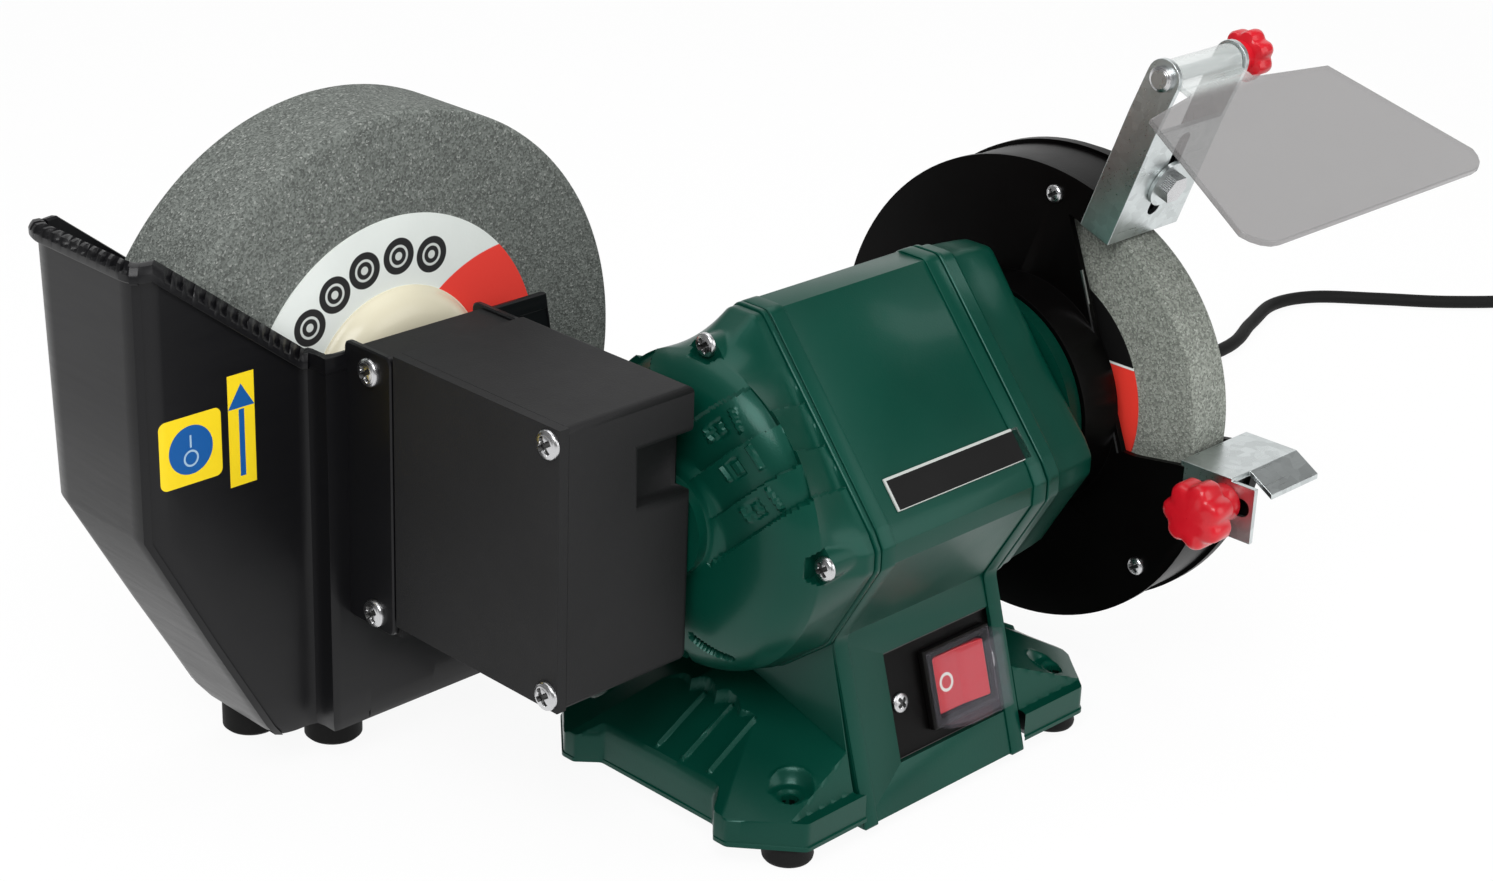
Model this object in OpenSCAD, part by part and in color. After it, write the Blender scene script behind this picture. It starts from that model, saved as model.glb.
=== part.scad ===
// Wet and dry bench grinder. Millimetres, +Z up, +X along the motor axis, -Y towards the user.
// The origin is the centre of the four bench bolts, on the bench.

/* [Motor] */
// Half width of the housing at its side corners
house_w = 61.5; // [60:0.5:66]
// Height of the housing's flat top above the motor axis
house_h = 67.5; // [66:0.5:74]
// Length of the barrel between its rims
barrel_len = 85; // [80:1:110]
// Barrel's left rim, measured left from the bolt pattern's centre
barrel_left = 44; // [42:1:48]
// Length of the left end bell
left_bell_len = 36; // [34:1:44]
// Length of the left end bell's nose, which meets the gearbox
nose_len = 5; // [4:1:10]
// Length of the right end bell
right_bell_len = 41; // [38:1:48]
// Wall of the plastic shells
shell_t = 3; // [2:0.5:4]
// Radius of the shaft in its bearings
shaft_r = 7.5; // [7:0.5:8]

/* [Base] */
// Bench bolt spacing along the motor
bolt_x = 140; // [136:1:150]
// Bench bolt spacing across the motor
bolt_y = 100; // [96:1:104]
// Radius of the bench bolt holes
bolt_r = 2.75; // [2.25:0.25:3.5]
// Radius of the base feet
foot_r = 9; // [7:0.5:10]
// Height of the base feet
foot_h = 8; // [6:0.5:10]
// Half width of the pedestal at the bottom
ped_w = 61; // [60:0.5:64]
// Half width of the pedestal where it meets the barrel
neck_w = 42; // [38:0.5:44]
// Height of the pods' side walls
pod_h = 10; // [8:0.5:12]

/* [Dry wheel] */
// Diameter of the dry wheel
dry_d = 150; // [140:1:154]
// Width of the dry wheel
dry_w = 20; // [16:1:25]
// Radius of the dry wheel's bore
dry_bore_r = 6.35; // [6:0.05:7]
// Gap between the dry wheel and the guard's rim
rim_gap = 11.5; // [9:0.5:14]
// Gap between the dry wheel and the guard's near plate
side_gap = 5.6; // [5:0.1:8]
// Thickness of the guard's sheet
guard_t = 2.5; // [1.5:0.5:3]
// Gap between the dry wheel and the spark guard
spark_gap = 1.6; // [1.2:0.1:3]
// Gap between the dry wheel and the tool rest
rest_gap = 2.5; // [2:0.1:4]

/* [Gearbox] */
// Width of the gearbox along the motor axis
gear_w = 58; // [54:1:66]
// Gearbox front face, measured forward from the motor axis
gear_front = 14; // [14:0.5:18]
// Gearbox back face, measured back from the motor axis
gear_back = 68; // [60:1:72]
// Gearbox height below the motor axis
gear_below = 44.5; // [40:0.5:46]
// Gearbox height above the motor axis
gear_above = 54.5; // [50:0.5:60]
// Wall of the gearbox
gear_t = 3; // [2:0.5:4]
// Arbor, measured left from the gearbox's right face
arbor_off = 23.2; // [22:0.2:28]
// Module of the worm drive
gear_m = 1.25; // [1:0.05:1.3]
// Teeth on the worm wheel
gear_n = 22; // [20:1:24]
// Radius of the arbor
arbor_r = 6; // [5:0.25:6.5]

/* [Wet wheel] */
// Diameter of the wet wheel
wet_d = 200; // [190:1:206]
// Width of the wet wheel
wet_w = 40; // [36:1:44]
// Front face of the wet wheel, measured back from the motor axis
wet_y = 110; // [106:1:116]
// Radius of the wet wheel's bore
wet_bore_r = 10; // [9:0.5:12]
// Radius of the front hub
hub_r = 38; // [34:1:42]

/* [Trough] */
// Wall of the water trough
trough_t = 2.5; // [2:0.25:3]
// Gap between the wheel and the trough's end walls
end_gap = 6.5; // [5:0.5:10]
// Gap between the wheel's front face and the trough's front wall
front_gap = 4.5; // [4:0.25:6]
// Gap between the wheel's back face and the trough's back wall
back_gap = 6.5; // [6:0.25:8]
// Gap between the wheel and the trough's floor
floor_gap = 11.5; // [9:0.5:12.5]
// Step between the trough's two front walls
front_step = 10; // [8:0.5:14]
// Height of the trough's feet, on which the trough stands
trough_foot = 17; // [12:0.5:24]
// Height of the trough's left rim above the arbor
left_rim = 72.5; // [66:0.5:78]
// Height of the trough's middle rim above the arbor
mid_rim = 28; // [24:0.5:32]

/* [Shield and rest] */
// Sheet thickness of the bracket and the tool rest
sheet_t = 2; // [1.5:0.25:2.5]
// Length of the spark guard bracket's front plate
plate_len = 47.5; // [44:0.5:54]
// Depth of the bracket's side flanges
flange_d = 13.8; // [12:0.2:16]
// Width of the eye shield
shield_w = 140; // [120:1:150]
// Length of the eye shield
shield_len = 82; // [70:1:88]
// Thickness of the eye shield
shield_t = 2.5; // [2:0.25:3]
// Width of the tool rest along the motor axis
rest_w = 39.5; // [34:0.5:42]
// Depth of the tool rest
rest_d = 22; // [18:0.5:26]
// Diameter of the tool rest knob
knob_d = 25; // [20:1:26]

/* [Switch] */
// Width of the switch plate
plate_w = 63; // [60:1:66]
// Height of the switch plate
plate_h = 39; // [37:1:42]
// Land at each side of the switch plate, which carries a screw
screw_land = 14; // [12:0.5:16]
// Land above and below the switch's bezel
bezel_land = 5; // [3:0.5:7]
// Width of the bezel at each side of the rocker
bezel_side = 5; // [3:0.5:6]

/* [Cord] */
// Diameter of the cord
cord_d = 6.5; // [6:0.5:8]
// Turns in the coil, laid in rows of two
coil_turns = 4; // [2:2:8]

/* [Hidden] */
$fn = 48;
// Running clearance, clearance of holes, and the air between bodies that slide past each other
run_c = 0.05;
hole_c = 0.2;
slide_c = 0.1;
eps = 0.01;
// Shank of the housing's screws, its holes, and the height of a screw's head
screw_r = 2;
screw_hole = screw_r + hole_c;
head_h = 2.4;

// Stations along the motor axis
rim_l = -barrel_left;
rim_r = rim_l + barrel_len;
bell_l = rim_l - left_bell_len;
bell_r = rim_r + right_bell_len;
gear_r = bell_l - nose_len;
gear_l = gear_r - gear_w;
dry_x = bell_r + 25.8;
guard_l = dry_x - side_gap - guard_t;
guard_r = dry_x + dry_w + side_gap + guard_t;
ring_r = guard_r - 5;
ring_l = ring_r - 4;
dome_r = guard_r + 8;
// Arbor of the wet wheel: its trough's feet and the worm drive set the height of the motor
worm_r = 6.75;
mesh_gap = 0.2;
worm_wheel_w = 9;
arbor_x = gear_r - arbor_off;
arbor_z = trough_foot + trough_t + floor_gap + wet_d / 2;
motor_z = arbor_z - gear_m * gear_n / 2 - worm_r;
gear_z0 = motor_z - gear_below;
gear_z1 = motor_z + gear_above;
neck_inset = 2.5;
COVER_SCREWS = [gear_z0 + 5, gear_z1 - 6];
cover_screw_y = 5 - gear_front;
bush_r = arbor_r + 3;
neck_z0 = gear_z0 - 5;
// Gearbox cover, the web that carries the front bushing, and the pocket in the front right edge
cover_t = 4;
boss_len = 17;
web_y = 8;
web_t = 6;
pocket_w = 23.5;
pocket_d = 7.5;
neck_end = wet_y - front_gap - trough_t - front_step - 4;
// Radii of the guard
guard_ri = dry_d / 2 + rim_gap;
guard_ro = guard_ri + guard_t;
ring_ro = guard_ro + 0.5;
// Screws of the guard: clockwise from the top round its edge, and round its hub
GUARD_SCREWS = [7.5, 130, 245];
guard_screw_r = guard_ri - 6.5;
HUB_SCREWS = [30, 150, 270];
hub_screw_r = 30;
guard_hub_r = 46;
guard_hub_in = guard_hub_r - 6;
shaft_hole_r = 12;
dome_base_r = 38;
dome_top_r = 34;
// Shaft's shoulder behind the dry wheel, the wheel's flanges and label, and the shaft's end
shoulder = dry_x - 4;
flange_r = 26;
flange_t = 3;
label_t = 0.5;
shaft_end = guard_r + 4;
// Pedestal's slanted faces
ped_top = motor_z - 41;
ped_bot = foot_h - 3;
ped_a = atan2(ped_w - neck_w, ped_top - ped_bot);
// Bell screws: their place in Y and Z at the top, the front and the back
BELL_SCREWS = [[0, motor_z + house_h - 8], [4 - house_w, motor_z - 1], [house_w - 4, motor_z - 1]];
// Height of the base's underside and of the sheet that closes it
base_z = foot_h;
sheet_base = 1.5;
waist = 7;
pod_x = bolt_x / 2 + 21;
roof_x = bolt_x / 2 + 16;
// Trough
tr_l = arbor_x - wet_d / 2 - end_gap - trough_t;
tr_r = arbor_x + wet_d / 2 + end_gap + trough_t;
tr_step = arbor_x - 43;
tr_mid = arbor_x + 54;
tr_z0 = trough_foot;
slope_w = 49;
slope_z = arbor_z - 26;
low_rim = arbor_z - 19;
tr_fb = wet_y - front_gap - trough_t;
tr_fc = tr_fb - front_step;
tr_back = wet_y + wet_w + back_gap + trough_t;
draft = 1 / 20;
notch_w = 20;
notch_z = arbor_z - 20;
EAR_Y = [gear_back + 0.3, tr_fc + 1];
TROUGH_SCREWS = [[(gear_back + tr_fc) / 2, gear_z1 - 9.5], [(gear_back + tr_fc) / 2 - 1, gear_z0 + 1]];
TROUGH_FEET = [[arbor_x - 24, wet_y + 9], [arbor_x - 42, wet_y + 34], [arbor_x + 42, wet_y + 32]];
wet_back = wet_y + wet_w;
hub_y = wet_y - 10;
spigot = 14;
// Spark guard bracket: its frame leans forward from the wheel's edge
lean = 20;
open_a = 29;
br_y = -(dry_d / 2 + spark_gap) * sin(open_a);
br_z = motor_z + (dry_d / 2 + spark_gap) * cos(open_a);
br_l = guard_l - sheet_t - 0.3;
br_r = guard_r + sheet_t + 0.3;
br_mid = (br_l + br_r) / 2;
ear_r = 7;
hinge_n = 6.2;
hinge_t = plate_len + 20;
hinge_r = 2.5;
// Eye shield: how far it droops from square to the bracket, its corners, and its set to the right
droop = 3;
shield_round = 12;
shield_off = 5;
shield_eye_r = 6;
bolt_t = 23;
spark_travel = 10;
tab_n = sheet_t + slide_c;
side_low = -6.5;
m6_r = 3;
// Tool rest
rest_z = motor_z - 3;
rest_y = -dry_d / 2 - rest_gap;
rest_x = guard_l - sheet_t - slide_c;
rest_bolt_y = rest_y - 20;
rest_bolt_z = motor_z - 12.5;
rest_out = 8;
// Switch, in the frame of the pedestal's front face
sw_x = 10.5;
sw_z = -31.5;
rocker_x = sw_x + 4;
bezel_w = plate_w - 2 * screw_land;
bezel_h = plate_h - 2 * bezel_land;
rocker_w = bezel_w - 2 * bezel_side;
rocker_h = bezel_h - 8;
plate_screw_x = plate_w / 2 - 5.6;
plate_screw_r = 1.6;
switch_t = 2;
switch_sink = 2;
// Stator and bearings
stator_r = 43;
stator_l = (rim_l + rim_r) / 2 - 19;
stator_len = 45;
wind_len = 12;
rotor_r = 22.5;
air_gap = 0.5;
brg_r = 17.5;
brg_w = 11;
brg_l = bell_l + 6;
brg_rx = bell_r - 5 - brg_w;
seat_t = 3.5;
// Cord: its gland stands square to the pedestal's back; the points of its lead and its tail are hand-picked
gland_r = 5;
gland_x = 10;
gland_z = 26;
gland_y = ped_w - (gland_z - ped_bot) * tan(ped_a);
gland_len = 32;
cord_r = cord_d / 2;
cord_z = cord_r + 0.1;
coil_x = 640;
coil_y = 20;
coil_mid = 5.5 * cord_d;
coil_h = coil_turns / 2 * cord_d;
plug_z = 19;
LEAD = [[gland_x, gland_y + gland_len * cos(ped_a), gland_z + gland_len * sin(ped_a)], [10, 104, 38],
    [13, 122, 32], [22, 138, 18], [38, 152, 7], [64, 164, cord_z], [110, 174, cord_z], [180, 176, cord_z],
    [265, 158, cord_z], [350, 136, cord_z], [425, 130, cord_z], [466, 142, cord_z], [498, 151, cord_z],
    [524, 144, cord_z], [548, 120, cord_z], [572, 94, cord_z], [604, 70, cord_z],
    [coil_x, coil_y + coil_mid + cord_r, cord_z]];
plug_x = 734;
plug_y = -44;
TAIL = [[coil_x + coil_mid, coil_y, 10], [680, -8, 10], [692, -32, 14], [plug_x - 20, plug_y, plug_z],
    [plug_x, plug_y, plug_z]];

// --- Helpers -------------------------------------------------------------------------------------
// A flat outline in Y and Z drawn out along X
module along_x(x0, x1) { translate([x0, 0, 0]) rotate([90, 0, 90]) linear_extrude(x1 - x0) children(); }
// A flat outline in X and Z drawn out along Y
module along_y(y0, y1) { translate([0, y1, 0]) rotate([90, 0, 0]) linear_extrude(y1 - y0) children(); }
module xcyl(r, x0, x1, y = 0, z = motor_z, r2 = -1) {
    translate([x0, y, z]) rotate([0, 90, 0]) cylinder(r1 = r, r2 = r2 < 0 ? r : r2, h = x1 - x0);
}
module ycyl(r, y0, y1, x = arbor_x, z = arbor_z, r2 = -1) {
    translate([x, y0, z]) rotate([-90, 0, 0]) cylinder(r1 = r, r2 = r2 < 0 ? r : r2, h = y1 - y0);
}
module zcyl(r, z0, z1, x, y) { translate([x, y, z0]) cylinder(r = r, h = z1 - z0); }
module box(a, b) { translate(a) cube(b - a); }
// Outline moved inwards by w; its points run anticlockwise
function inset(p, w) = [for (i = [0:len(p) - 1]) let (
    a = p[(i + len(p) - 1) % len(p)], b = p[i], c = p[(i + 1) % len(p)],
    u = (b - a) / norm(b - a), v = (c - b) / norm(c - b),
    m = [-u[1], u[0]], n = [-v[1], v[0]]) b + w * (m + n) / (1 + m * n)];
// Outline with each corner rounded by radius r
function rounded(p, r, k = 4) = [for (i = [0:len(p) - 1]) let (
    a = p[(i + len(p) - 1) % len(p)], b = p[i], c = p[(i + 1) % len(p)],
    u = (a - b) / norm(a - b), v = (c - b) / norm(c - b),
    s = r / tan(acos(u * v) / 2)) for (t = [0:1 / k:1])
    b + u * s * (1 - t) * (1 - t) + v * s * t * t];
// Points along an arc from angle a0 to a1, in k steps
function arc(y, z, r, a0, a1, k) = [for (i = [0:k]) let (a = a0 + (a1 - a0) * i / k)
    [y + r * cos(a), z + r * sin(a)]];
// Screw along +X: its head starts at x0, and its shank follows
module xscrew(x0, y, z, head, shank, len) {
    xcyl(head * 0.72, x0, x0 + 0.8, y, z, r2 = head);
    xcyl(head, x0 + 0.8, x0 + head_h, y, z);
    xcyl(shank, x0 + 1, x0 + head_h + len, y, z);
}
// Seven-lobed hand knob along X
module lobed_knob(d, w, x0, y, z) {
    translate([x0, y, z]) rotate([0, 90, 0]) linear_extrude(w) difference() {
        circle(d / 2);
        for (i = [0:6]) rotate(i * 360 / 7) translate([d * 0.6, 0]) circle(d * 0.17);
    }
}
// Cord: smooth curve through points, and a tube along it
function spline(p, k) = concat([for (i = [0:len(p) - 2]) let (
    a = p[max(i - 1, 0)], b = p[i], c = p[i + 1], d = p[min(i + 2, len(p) - 1)])
    for (j = [0:k - 1]) let (t = j / k)
    0.5 * (2 * b + (c - a) * t + (2 * a - 5 * b + 4 * c - d) * t * t + (3 * b - a - 3 * c + d) * t * t * t)],
    [p[len(p) - 1]]);
module tube(p, r, sides = 10) {
    n = len(p);
    ring = [for (i = [0:n - 1]) let (
        t = p[min(i + 1, n - 1)] - p[max(i - 1, 0)], u = t / norm(t),
        s = cross(u, [0, 0, 1]), v = s / norm(s), w = cross(v, u))
        for (j = [0:sides - 1]) p[i] + r * (v * cos(j * 360 / sides) + w * sin(j * 360 / sides))];
    polyhedron(ring, concat(
        [[for (j = [0:sides - 1]) j]],
        [for (i = [0:n - 2]) for (j = [0:sides - 1]) let (a = i * sides + j, b = i * sides + (j + 1) % sides)
            [a, a + sides, b + sides, b]],
        [[for (j = [sides - 1:-1:0]) (n - 1) * sides + j]]));
}

// --- Housing -------------------------------------------------------------------------------------
// Anticlockwise outline of the bells in Y and Z: a square on its corner, with a flat top
function bell_outline() = [[6, motor_z + house_h], [-6, motor_z + house_h], [-house_w + 3.5, motor_z + 6],
    [-house_w, motor_z], [-house_w, motor_z - 7], [-neck_w, ped_top], [-20, motor_z - 58],
    [20, motor_z - 58], [neck_w, ped_top], [house_w, motor_z - 7], [house_w, motor_z],
    [house_w - 3.5, motor_z + 6]];
// The same outline carried down into the pedestal
function barrel_outline() = [[6, motor_z + house_h], [-6, motor_z + house_h], [-house_w + 3.5, motor_z + 6],
    [-house_w, motor_z], [-house_w, motor_z - 7], [-neck_w, ped_top], [-ped_w, ped_bot],
    [ped_w, ped_bot], [neck_w, ped_top], [house_w, motor_z - 7], [house_w, motor_z],
    [house_w - 3.5, motor_z + 6]];
function open_below(p) = [for (q = p) q[1] < ped_bot + 2 * shell_t ? [q[0], ped_bot - 5] : q];

module motor_barrel() {
    color([0.05, 0.30, 0.22]) difference() {
        union() {
            difference() {
                along_x(rim_l, rim_r) polygon(barrel_outline());
                along_x(rim_l - 1, rim_r + 1) polygon(open_below(inset(barrel_outline(), shell_t)));
            }
            // Rings that hold the stator
            for (x = [stator_l + 4, stator_l + stator_len - 10]) along_x(x, x + 6) difference() {
                polygon(inset(bell_outline(), shell_t - eps));
                translate([0, motor_z]) circle(stator_r);
            }
            // Seat behind the switch plate
            switch_frame() box([sw_x - plate_w / 2 - 3, -0.5, sw_z - plate_h / 2 - 3],
                [min(sw_x + plate_w / 2 + 3, rim_r - 1), switch_t + 2.5, sw_z + plate_h / 2 + 3]);
            // Bosses for the bell screws
            for (q = BELL_SCREWS) intersection() {
                xcyl(6, rim_l, rim_l + 16, q[0], q[1]);
                along_x(rim_l, rim_r) polygon(barrel_outline());
            }
        }
        for (q = BELL_SCREWS) xcyl(screw_hole, rim_l - 1, rim_l + 14, q[0], q[1]);
        switch_frame() {
            box([sw_x - plate_w / 2 - hole_c, -6, sw_z - plate_h / 2 - hole_c],
                [sw_x + plate_w / 2 + hole_c, switch_t, sw_z + plate_h / 2 + hole_c]);
            box([sw_x - plate_w / 2 + 10, -1, sw_z - plate_h / 2 + 4],
                [sw_x + plate_w / 2 - 10, 9, sw_z + plate_h / 2 - 4]);
            for (x = [-1, 1]) ycyl(plate_screw_r + hole_c, 0, 9, sw_x + x * plate_screw_x, sw_z);
        }
        gland_frame() translate([0, 0, -shell_t - 2]) cylinder(r = gland_r + hole_c, h = shell_t + 4);
    }
}
// Frame on the pedestal's front face: X along the motor, -Y outwards, Z up the face
module pedestal_face() { translate([0, -neck_w, ped_top]) rotate([-ped_a, 0, 0]) children(); }
// The same frame sunk to the switch plate's own face
module switch_frame() { pedestal_face() translate([0, switch_sink, 0]) children(); }

// Plan of one end's base: the pods' corners are cut off, and the edge between the pods stands back
function half_plan() = let (y = bolt_y / 2 + 12) [[pod_x - 18, -y], [pod_x, -y + 21], [pod_x, -y + 27],
    [pod_x - waist, -y + 27 + waist]];
function base_plan(x, s) = let (y = bolt_y / 2 + 12, h = half_plan(), n = len(h)) s > 0 ?
    concat([[x, -y]], h, [for (i = [n - 1:-1:0]) [h[i][0], -h[i][1]]], [[x, y]]) :
    concat([[x, y]], [for (i = [0:n - 1]) [-h[i][0], -h[i][1]]], [for (i = [n - 1:-1:0]) [-h[i][0], h[i][1]]],
        [[x, -y]]);
function roof_side(x, s) = s > 0 ?
    [[x, base_z], [pod_x, base_z], [pod_x, base_z + pod_h], [roof_x, base_z + pod_h + 3], [x + 8, motor_z - 52],
        [x, motor_z - 46]] :
    [[x, base_z], [x, motor_z - 46], [x - 8, motor_z - 52], [-roof_x, base_z + pod_h + 3],
        [-pod_x, base_z + pod_h], [-pod_x, base_z]];
module end_base(x, s, roof_w) {
    difference() {
        union() {
            translate([0, 0, base_z]) linear_extrude(pod_h) polygon(base_plan(x, s));
            intersection() {
                along_y(-roof_w, roof_w) polygon(roof_side(x, s));
                along_x(min(x, s * pod_x), max(x, s * pod_x)) polygon(barrel_outline());
                linear_extrude(motor_z) polygon(base_plan(x, s));
            }
        }
        translate([0, 0, base_z - 1]) linear_extrude(pod_h + 1 - shell_t)
            polygon(inset(base_plan(x - s * 2 * shell_t, s), shell_t));
        intersection() {
            along_y(shell_t - roof_w, roof_w - shell_t)
                polygon(inset(roof_side(x - s * 2 * shell_t, s), shell_t));
            along_x(min(x, s * pod_x) - 9, max(x, s * pod_x) + 9)
                polygon(open_below(inset(barrel_outline(), shell_t)));
            linear_extrude(motor_z) polygon(inset(base_plan(x - s * 2 * shell_t, s), shell_t));
        }
    }
    for (y = [-bolt_y / 2, bolt_y / 2])
        zcyl(bolt_r + 4.5, base_z + sheet_base, base_z + pod_h - eps, s * bolt_x / 2, y);
}
module bolt_holes(s) {
    for (y = [-bolt_y / 2, bolt_y / 2]) zcyl(bolt_r, -1, 40, s * bolt_x / 2, y);
    for (y = [-bolt_y / 2, bolt_y / 2]) zcyl(bolt_r + 3.5, base_z + pod_h, 60, s * bolt_x / 2, y);
}
module left_end_bell() {
    color([0.05, 0.30, 0.22]) difference() {
        union() {
            end_base(rim_l, -1, ped_w + shell_t);
            difference() {
                union() {
                    hull() {
                        along_x(rim_l - 10, rim_l) polygon(bell_outline());
                        xcyl(house_w - 5, bell_l + 12, bell_l + 13);
                        xcyl(house_w - 14, bell_l, bell_l + 1);
                    }
                    xcyl(18, gear_r, bell_l + 1);
                }
                hull() {
                    along_x(rim_l - 10, rim_l + 1) polygon(inset(bell_outline(), shell_t + 4));
                    xcyl(house_w - 14, bell_l + 12, bell_l + 13);
                    xcyl(house_w - 22, bell_l + shell_t, bell_l + shell_t + 1);
                }
                for (q = BELL_SCREWS) {
                    xcyl(6, bell_l - 5, rim_l - 22, q[0], q[1]);
                    xcyl(screw_hole, rim_l - 23, rim_l + 1, q[0], q[1]);
                }
            }
            xcyl(brg_r + seat_t, bell_l + 1, brg_l + brg_w);
        }
        xcyl(brg_r, brg_l, brg_l + brg_w + 1);
        xcyl(shaft_r + 2, gear_r - 1, brg_l + 1);
        bolt_holes(-1);
    }
}
// Holes for the screws that hold the guard to the right end bell
module hub_holes(x0, x1) {
    for (a = HUB_SCREWS) xcyl(screw_hole, x0, x1, hub_screw_r * cos(a), motor_z + hub_screw_r * sin(a));
}
module right_end_bell() {
    color([0.05, 0.30, 0.22]) difference() {
        union() {
            end_base(rim_r, 1, 30);
            difference() {
                union() {
                    hull() {
                        along_x(rim_r, rim_r + 8) polygon(bell_outline());
                        along_x(bell_r - 11, bell_r - 10) polygon(inset(bell_outline(), 3));
                    }
                    xcyl(house_w - 12, bell_r - 14, bell_r, r2 = house_w - 17);
                }
                hull() {
                    along_x(rim_r - 1, rim_r + 8) polygon(inset(bell_outline(), shell_t));
                    along_x(bell_r - 15, bell_r - 14) polygon(inset(bell_outline(), 3 + shell_t));
                }
                xcyl(house_w - 21, bell_r - 15, bell_r - shell_t);
            }
            xcyl(brg_r + seat_t, brg_rx, bell_r - 2);
        }
        hub_holes(bell_r - shell_t - 5, bell_r + 1);
        xcyl(brg_r, brg_rx - 1, brg_rx + brg_w);
        xcyl(shaft_r + 2, brg_rx, bell_r + 1);
        bolt_holes(1);
    }
}
module base_plate() {
    w = shell_t + 0.5;
    color([0.25, 0.26, 0.27]) difference() {
        translate([0, 0, base_z]) linear_extrude(sheet_base) union() {
            polygon(inset(base_plan(rim_l, -1), w));
            polygon(inset(base_plan(rim_r, 1), w));
            translate([rim_l - 2 * w, 2 * w - ped_w]) square([rim_r - rim_l + 4 * w, 2 * ped_w - 4 * w]);
        }
        for (x = [-bolt_x / 2, bolt_x / 2]) for (y = [-bolt_y / 2, bolt_y / 2]) zcyl(bolt_r, 0, 20, x, y);
    }
}
module base_feet() {
    color([0.05, 0.05, 0.05]) for (x = [-bolt_x / 2, bolt_x / 2]) for (y = [-bolt_y / 2, bolt_y / 2])
        translate([x, y, 0]) rotate_extrude() polygon([[bolt_r, 0], [foot_r - 1, 0], [foot_r, 1],
            [foot_r, foot_h - 1], [foot_r - 1, foot_h], [bolt_r, foot_h]]);
}
module bell_screws() {
    color([0.75, 0.76, 0.78]) for (q = BELL_SCREWS) xscrew(rim_l - 22 - head_h, q[0], q[1], 4.2, screw_r, 32);
}

// --- Motor inside --------------------------------------------------------------------------------
module stator_core() {
    color([0.45, 0.46, 0.48]) difference() {
        xcyl(stator_r, stator_l, stator_l + stator_len);
        xcyl(rotor_r + air_gap, stator_l - 1, stator_l + stator_len + 1);
    }
}
module stator_windings() {
    color([0.72, 0.38, 0.16]) for (x = [stator_l - wind_len, stator_l + stator_len])
        translate([x, 0, motor_z]) rotate([0, 90, 0]) rotate_extrude()
            polygon([[rotor_r + 4, 0], [stator_r - 6, 0], [stator_r - 3, 3], [stator_r - 3, wind_len - 3],
                [stator_r - 6, wind_len], [rotor_r + 4, wind_len]]);
}
module bearing(x) {
    difference() {
        xcyl(brg_r, x, x + brg_w);
        xcyl(shaft_r + run_c, x - 1, x + brg_w + 1);
        for (e = [x - 1, x + brg_w - 1]) difference() {
            xcyl(brg_r - 3, e, e + 2);
            xcyl(shaft_r + 3, e, e + 2);
        }
    }
}
module left_bearing() { color([0.70, 0.71, 0.73]) bearing(brg_l); }
module right_bearing() { color([0.70, 0.71, 0.73]) bearing(brg_rx); }
module run_capacitor() {
    color([0.85, 0.85, 0.82]) xcyl(14, rim_l + 6, rim_l + 48, 22, base_z + sheet_base + 14);
}
module terminal_block() {
    color([0.80, 0.80, 0.76]) difference() {
        box([rim_r - 34, 8, base_z + sheet_base], [rim_r - 4, 24, base_z + sheet_base + 14]);
        for (i = [0:2]) zcyl(2, base_z + sheet_base + 6, 60, rim_r - 28 + 9 * i, 16);
    }
}

// --- Switch --------------------------------------------------------------------------------------
module switch_plate() {
    color([0.07, 0.07, 0.08]) switch_frame() difference() {
        box([sw_x - plate_w / 2, 0, sw_z - plate_h / 2], [sw_x + plate_w / 2, switch_t, sw_z + plate_h / 2]);
        box([rocker_x - bezel_w / 2 + 2, -1, sw_z - bezel_h / 2 + 2],
            [rocker_x + bezel_w / 2 - 2, switch_t + 1, sw_z + bezel_h / 2 - 2]);
        for (x = [-1, 1]) ycyl(plate_screw_r + hole_c, -1, switch_t + 1, sw_x + x * plate_screw_x, sw_z);
    }
}
module switch_body() {
    color([0.05, 0.05, 0.05]) switch_frame() difference() {
        union() {
            box([rocker_x - bezel_w / 2, -3, sw_z - bezel_h / 2],
                [rocker_x + bezel_w / 2, 0, sw_z + bezel_h / 2]);
            box([rocker_x - bezel_w / 2 + 2 + hole_c, -1, sw_z - bezel_h / 2 + 2 + hole_c],
                [rocker_x + bezel_w / 2 - 2 - hole_c, 20, sw_z + bezel_h / 2 - 2 - hole_c]);
        }
        box([rocker_x - rocker_w / 2 - 0.6, -4, sw_z - rocker_h / 2 - 0.4],
            [rocker_x + rocker_w / 2 + 0.6, 10, sw_z + rocker_h / 2 + 0.4]);
    }
}
module switch_cap() {
    // Clear splash cap: a shallow roof over the rocker, seated on the bezel
    cx = [rocker_x - bezel_w / 2 + 1, rocker_x + bezel_w / 2 - 1];
    cz = [sw_z - bezel_h / 2 + 1, sw_z + bezel_h / 2 - 1];
    color([0.85, 0.87, 0.92, 0.4]) switch_frame() difference() {
        translate([0, 0, cz[0]]) linear_extrude(cz[1] - cz[0])
            polygon([[cx[0], -3], [cx[0], -9], [cx[0] + 7, -14], [cx[1] - 4, -14], [cx[1], -10], [cx[1], -3]]);
        translate([0, 0, cz[0] + 1]) linear_extrude(cz[1] - cz[0] - 2)
            polygon([[cx[0] + 1, -2], [cx[0] + 1, -8.4], [cx[0] + 7.4, -13], [cx[1] - 4.4, -13],
                [cx[1] - 1, -9.6], [cx[1] - 1, -2]]);
    }
}
module switch_screws() {
    color([0.80, 0.81, 0.83]) switch_frame() for (x = [-1, 1]) {
        ycyl(3.6, -1.8, 0, sw_x + x * plate_screw_x, sw_z);
        ycyl(plate_screw_r, 0, switch_t + 6, sw_x + x * plate_screw_x, sw_z);
    }
}
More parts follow.
